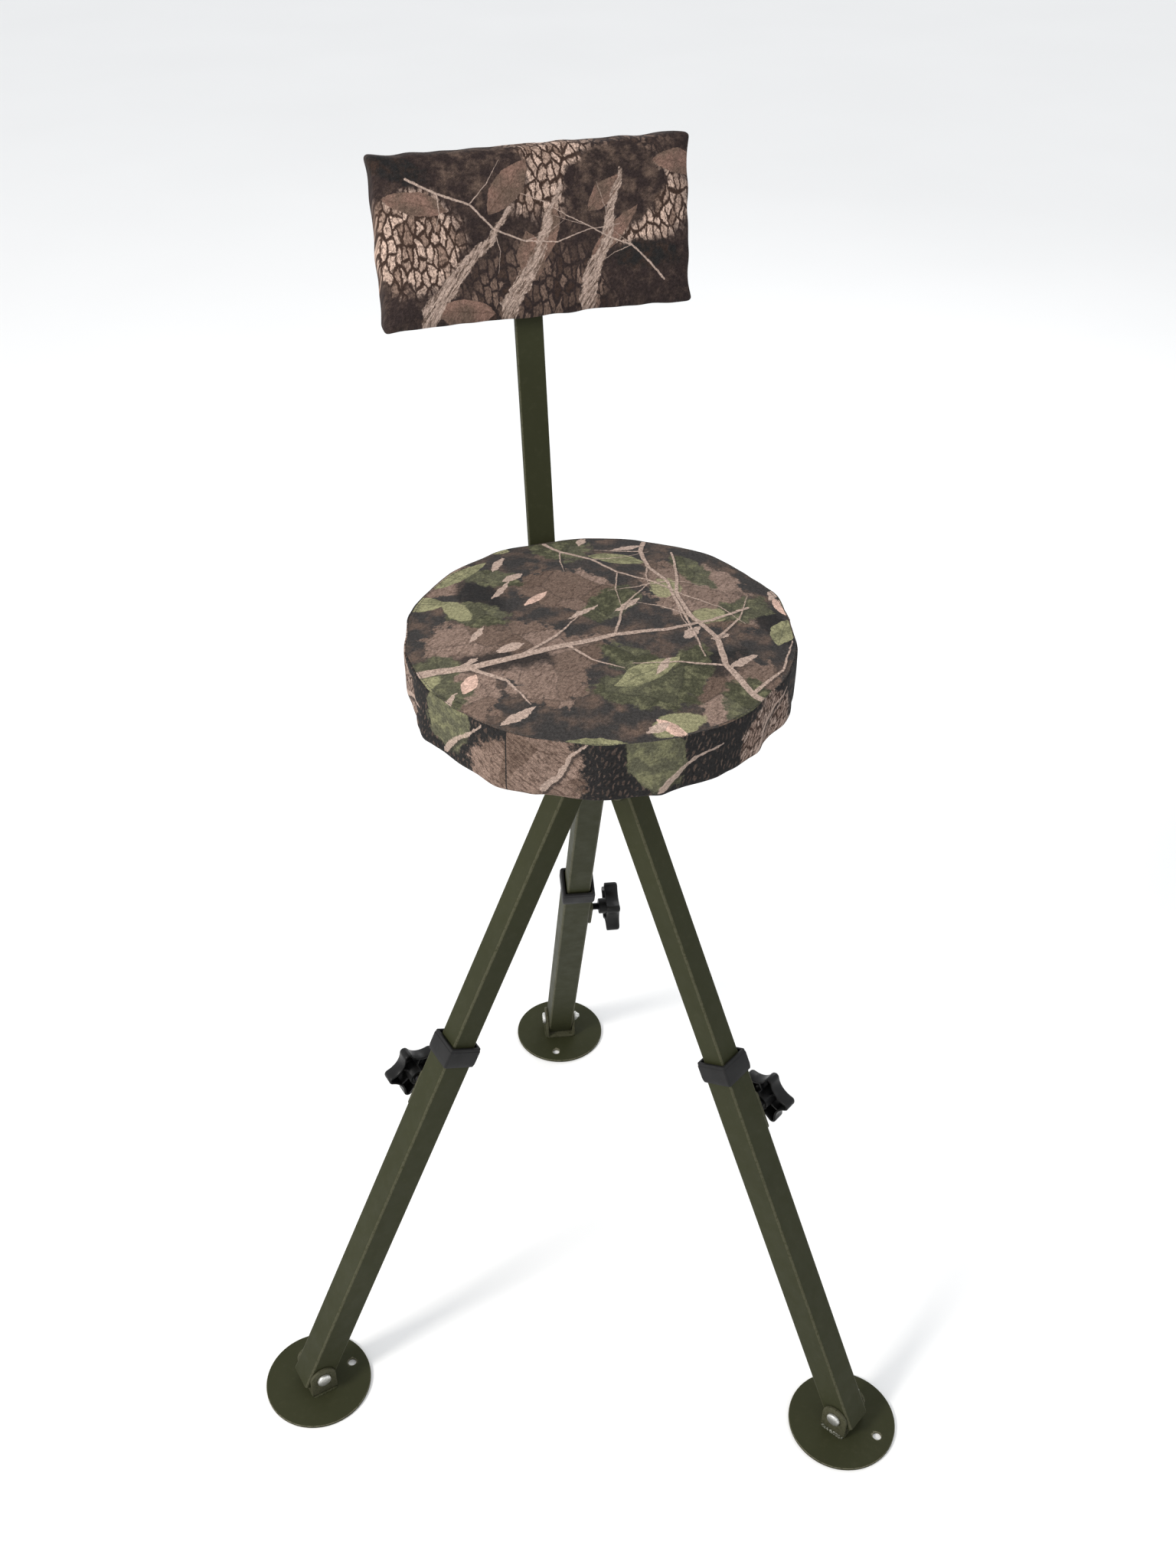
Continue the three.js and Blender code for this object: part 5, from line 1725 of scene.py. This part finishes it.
def make_stitches(cushion):
    """A row of sewn stitches on the seat's top, just inside the seam that joins it to the band."""
    count = 300
    radius = SEAM_RADIUS - 2.2 * MM
    sides = 6
    section = ((-1.3 * MM, 0.08 * MM), (-0.9 * MM, 0.26 * MM), (0.9 * MM, 0.26 * MM), (1.3 * MM, 0.08 * MM))
    bm = bmesh.new()
    for i in range(count):
        angle = 2 * math.pi * i / count
        out = Vector((math.cos(angle), math.sin(angle), 0))
        start = Vector((SWIVEL.x, SWIVEL.y, CUSHION_TOP + 20 * MM)) + out * radius
        hit, spot, normal, _ = cushion.ray_cast(start, Vector((0, 0, -1)))
        if not hit:
            continue
        along = normal.cross(out).normalized()
        stitch = axes_at(spot + normal * 0.05 * MM, normal, along)
        rings = [circle(r, z, sides) for z, r in section]
        loops = [[bm.verts.new(stitch @ Vector(point)) for point in ring] for ring in rings]
        for first, second in zip(loops, loops[1:]):
            for k in range(sides):
                bm.faces.new((first[k], first[k - 1], second[k - 1], second[k]))
        bm.faces.new(loops[0])
        bm.faces.new(list(reversed(loops[-1])))
    return mesh_object("seat_cushion_stitches", bm, smooth_angle=180)


def thread_material():
    material, nodes, shader, where = new_material("sewing_thread")
    twist = nodes.noise(where, 2600.0, 3.0, 0.6)
    base = nodes.mix(twist, (0.02, 0.017, 0.014), (0.07, 0.06, 0.05))
    nodes.link(base, shader.inputs["Base Color"])
    shader.inputs["Roughness"].default_value = 0.7
    nodes.link(nodes.bump(twist, 0.4, 0.0001), shader.inputs["Normal"])
    return material


THREAD = thread_material()


# ---- Everything in its place ----
for leg in LEGS:
    make_upper_leg(leg)
    make_lower_leg(leg)
    make_knob(leg)
    make_foot(leg)
make_hub()
make_spindle()
make_seat_frame()
make_post()
make_back_frame()
cushion = make_seat_cushion()
place(cushion, "seat", SEAT_FABRIC, "camouflage_fabric", "seat_cushion")
place(make_stitches(cushion), "seat", THREAD, "camouflage_fabric")
pad = make_back_cushion()
place(pad, "seat", PAD_FABRIC, "camouflage_fabric", "back_cushion")


# ---- Floor, light and camera ----
def area_light(name, location, target, width, power, colour=(1, 1, 1)):
    data = bpy.data.lights.new(name, "AREA")
    data.shape = "DISK"
    data.size = width
    data.energy = power
    data.color = colour
    light = bpy.data.objects.new(name, data)
    light.location = location
    light.rotation_euler = (Vector(target) - Vector(location)).to_track_quat("-Z", "Y").to_euler()
    bpy.context.scene.collection.objects.link(light)


def make_studio():
    """A wide pale floor just under the feet, an even sky and three soft lights."""
    bm = bmesh.new()
    bmesh.ops.create_grid(bm, x_segments=1, y_segments=1, size=30.0)
    floor = mesh_object("studio_floor", bm, moved(z=-0.5 * MM))
    material, nodes, shader, where = new_material("pale_floor")
    tone = nodes.mix(nodes.noise(where, 1.5, 2.0), (0.86, 0.86, 0.86), (0.9, 0.9, 0.9))
    nodes.link(tone, shader.inputs["Base Color"])
    shader.inputs["Roughness"].default_value = 0.9
    floor.data.materials.append(material)
    world = bpy.data.worlds.new("studio")
    world.use_nodes = True
    background = world.node_tree.nodes["Background"]
    background.inputs["Color"].default_value = (0.97, 0.985, 1.0, 1)
    background.inputs["Strength"].default_value = 0.95
    bpy.context.scene.world = world
    area_light("key", (-2.3, -1.7, 2.4), (0, 0, 0.6), 0.9, 90, (1.0, 0.965, 0.91))
    area_light("fill", (2.4, -1.6, 1.6), (0, 0, 0.5), 1.6, 5, (0.92, 0.96, 1.0))
    area_light("rim", (0.8, 2.6, 2.2), (0, 0, 0.7), 1.2, 14)


# The lens: where it is, how far it looks down, and how far it leans to one side.
EYE = Vector((SWIVEL.x - 0.01005, SWIVEL.y - 1.1516, 1.5345))
PITCH = math.radians(37.08)
ROLL = math.radians(0.55)
LENS = 36.75  # focal length for the 36 mm sensor height


def make_camera():
    data = bpy.data.cameras.new("camera")
    data.sensor_fit = "VERTICAL"
    data.sensor_height = 36.0
    data.lens = LENS
    camera = bpy.data.objects.new("camera", data)
    bpy.context.scene.collection.objects.link(camera)
    tilt = Matrix.Rotation(math.pi / 2 - PITCH, 4, "X")
    camera.matrix_world = Matrix.Translation(EYE) @ tilt @ Matrix.Rotation(ROLL, 4, "Z")
    bpy.context.scene.camera = camera


make_studio()
make_camera()
bpy.context.scene.view_settings.view_transform = "Standard"
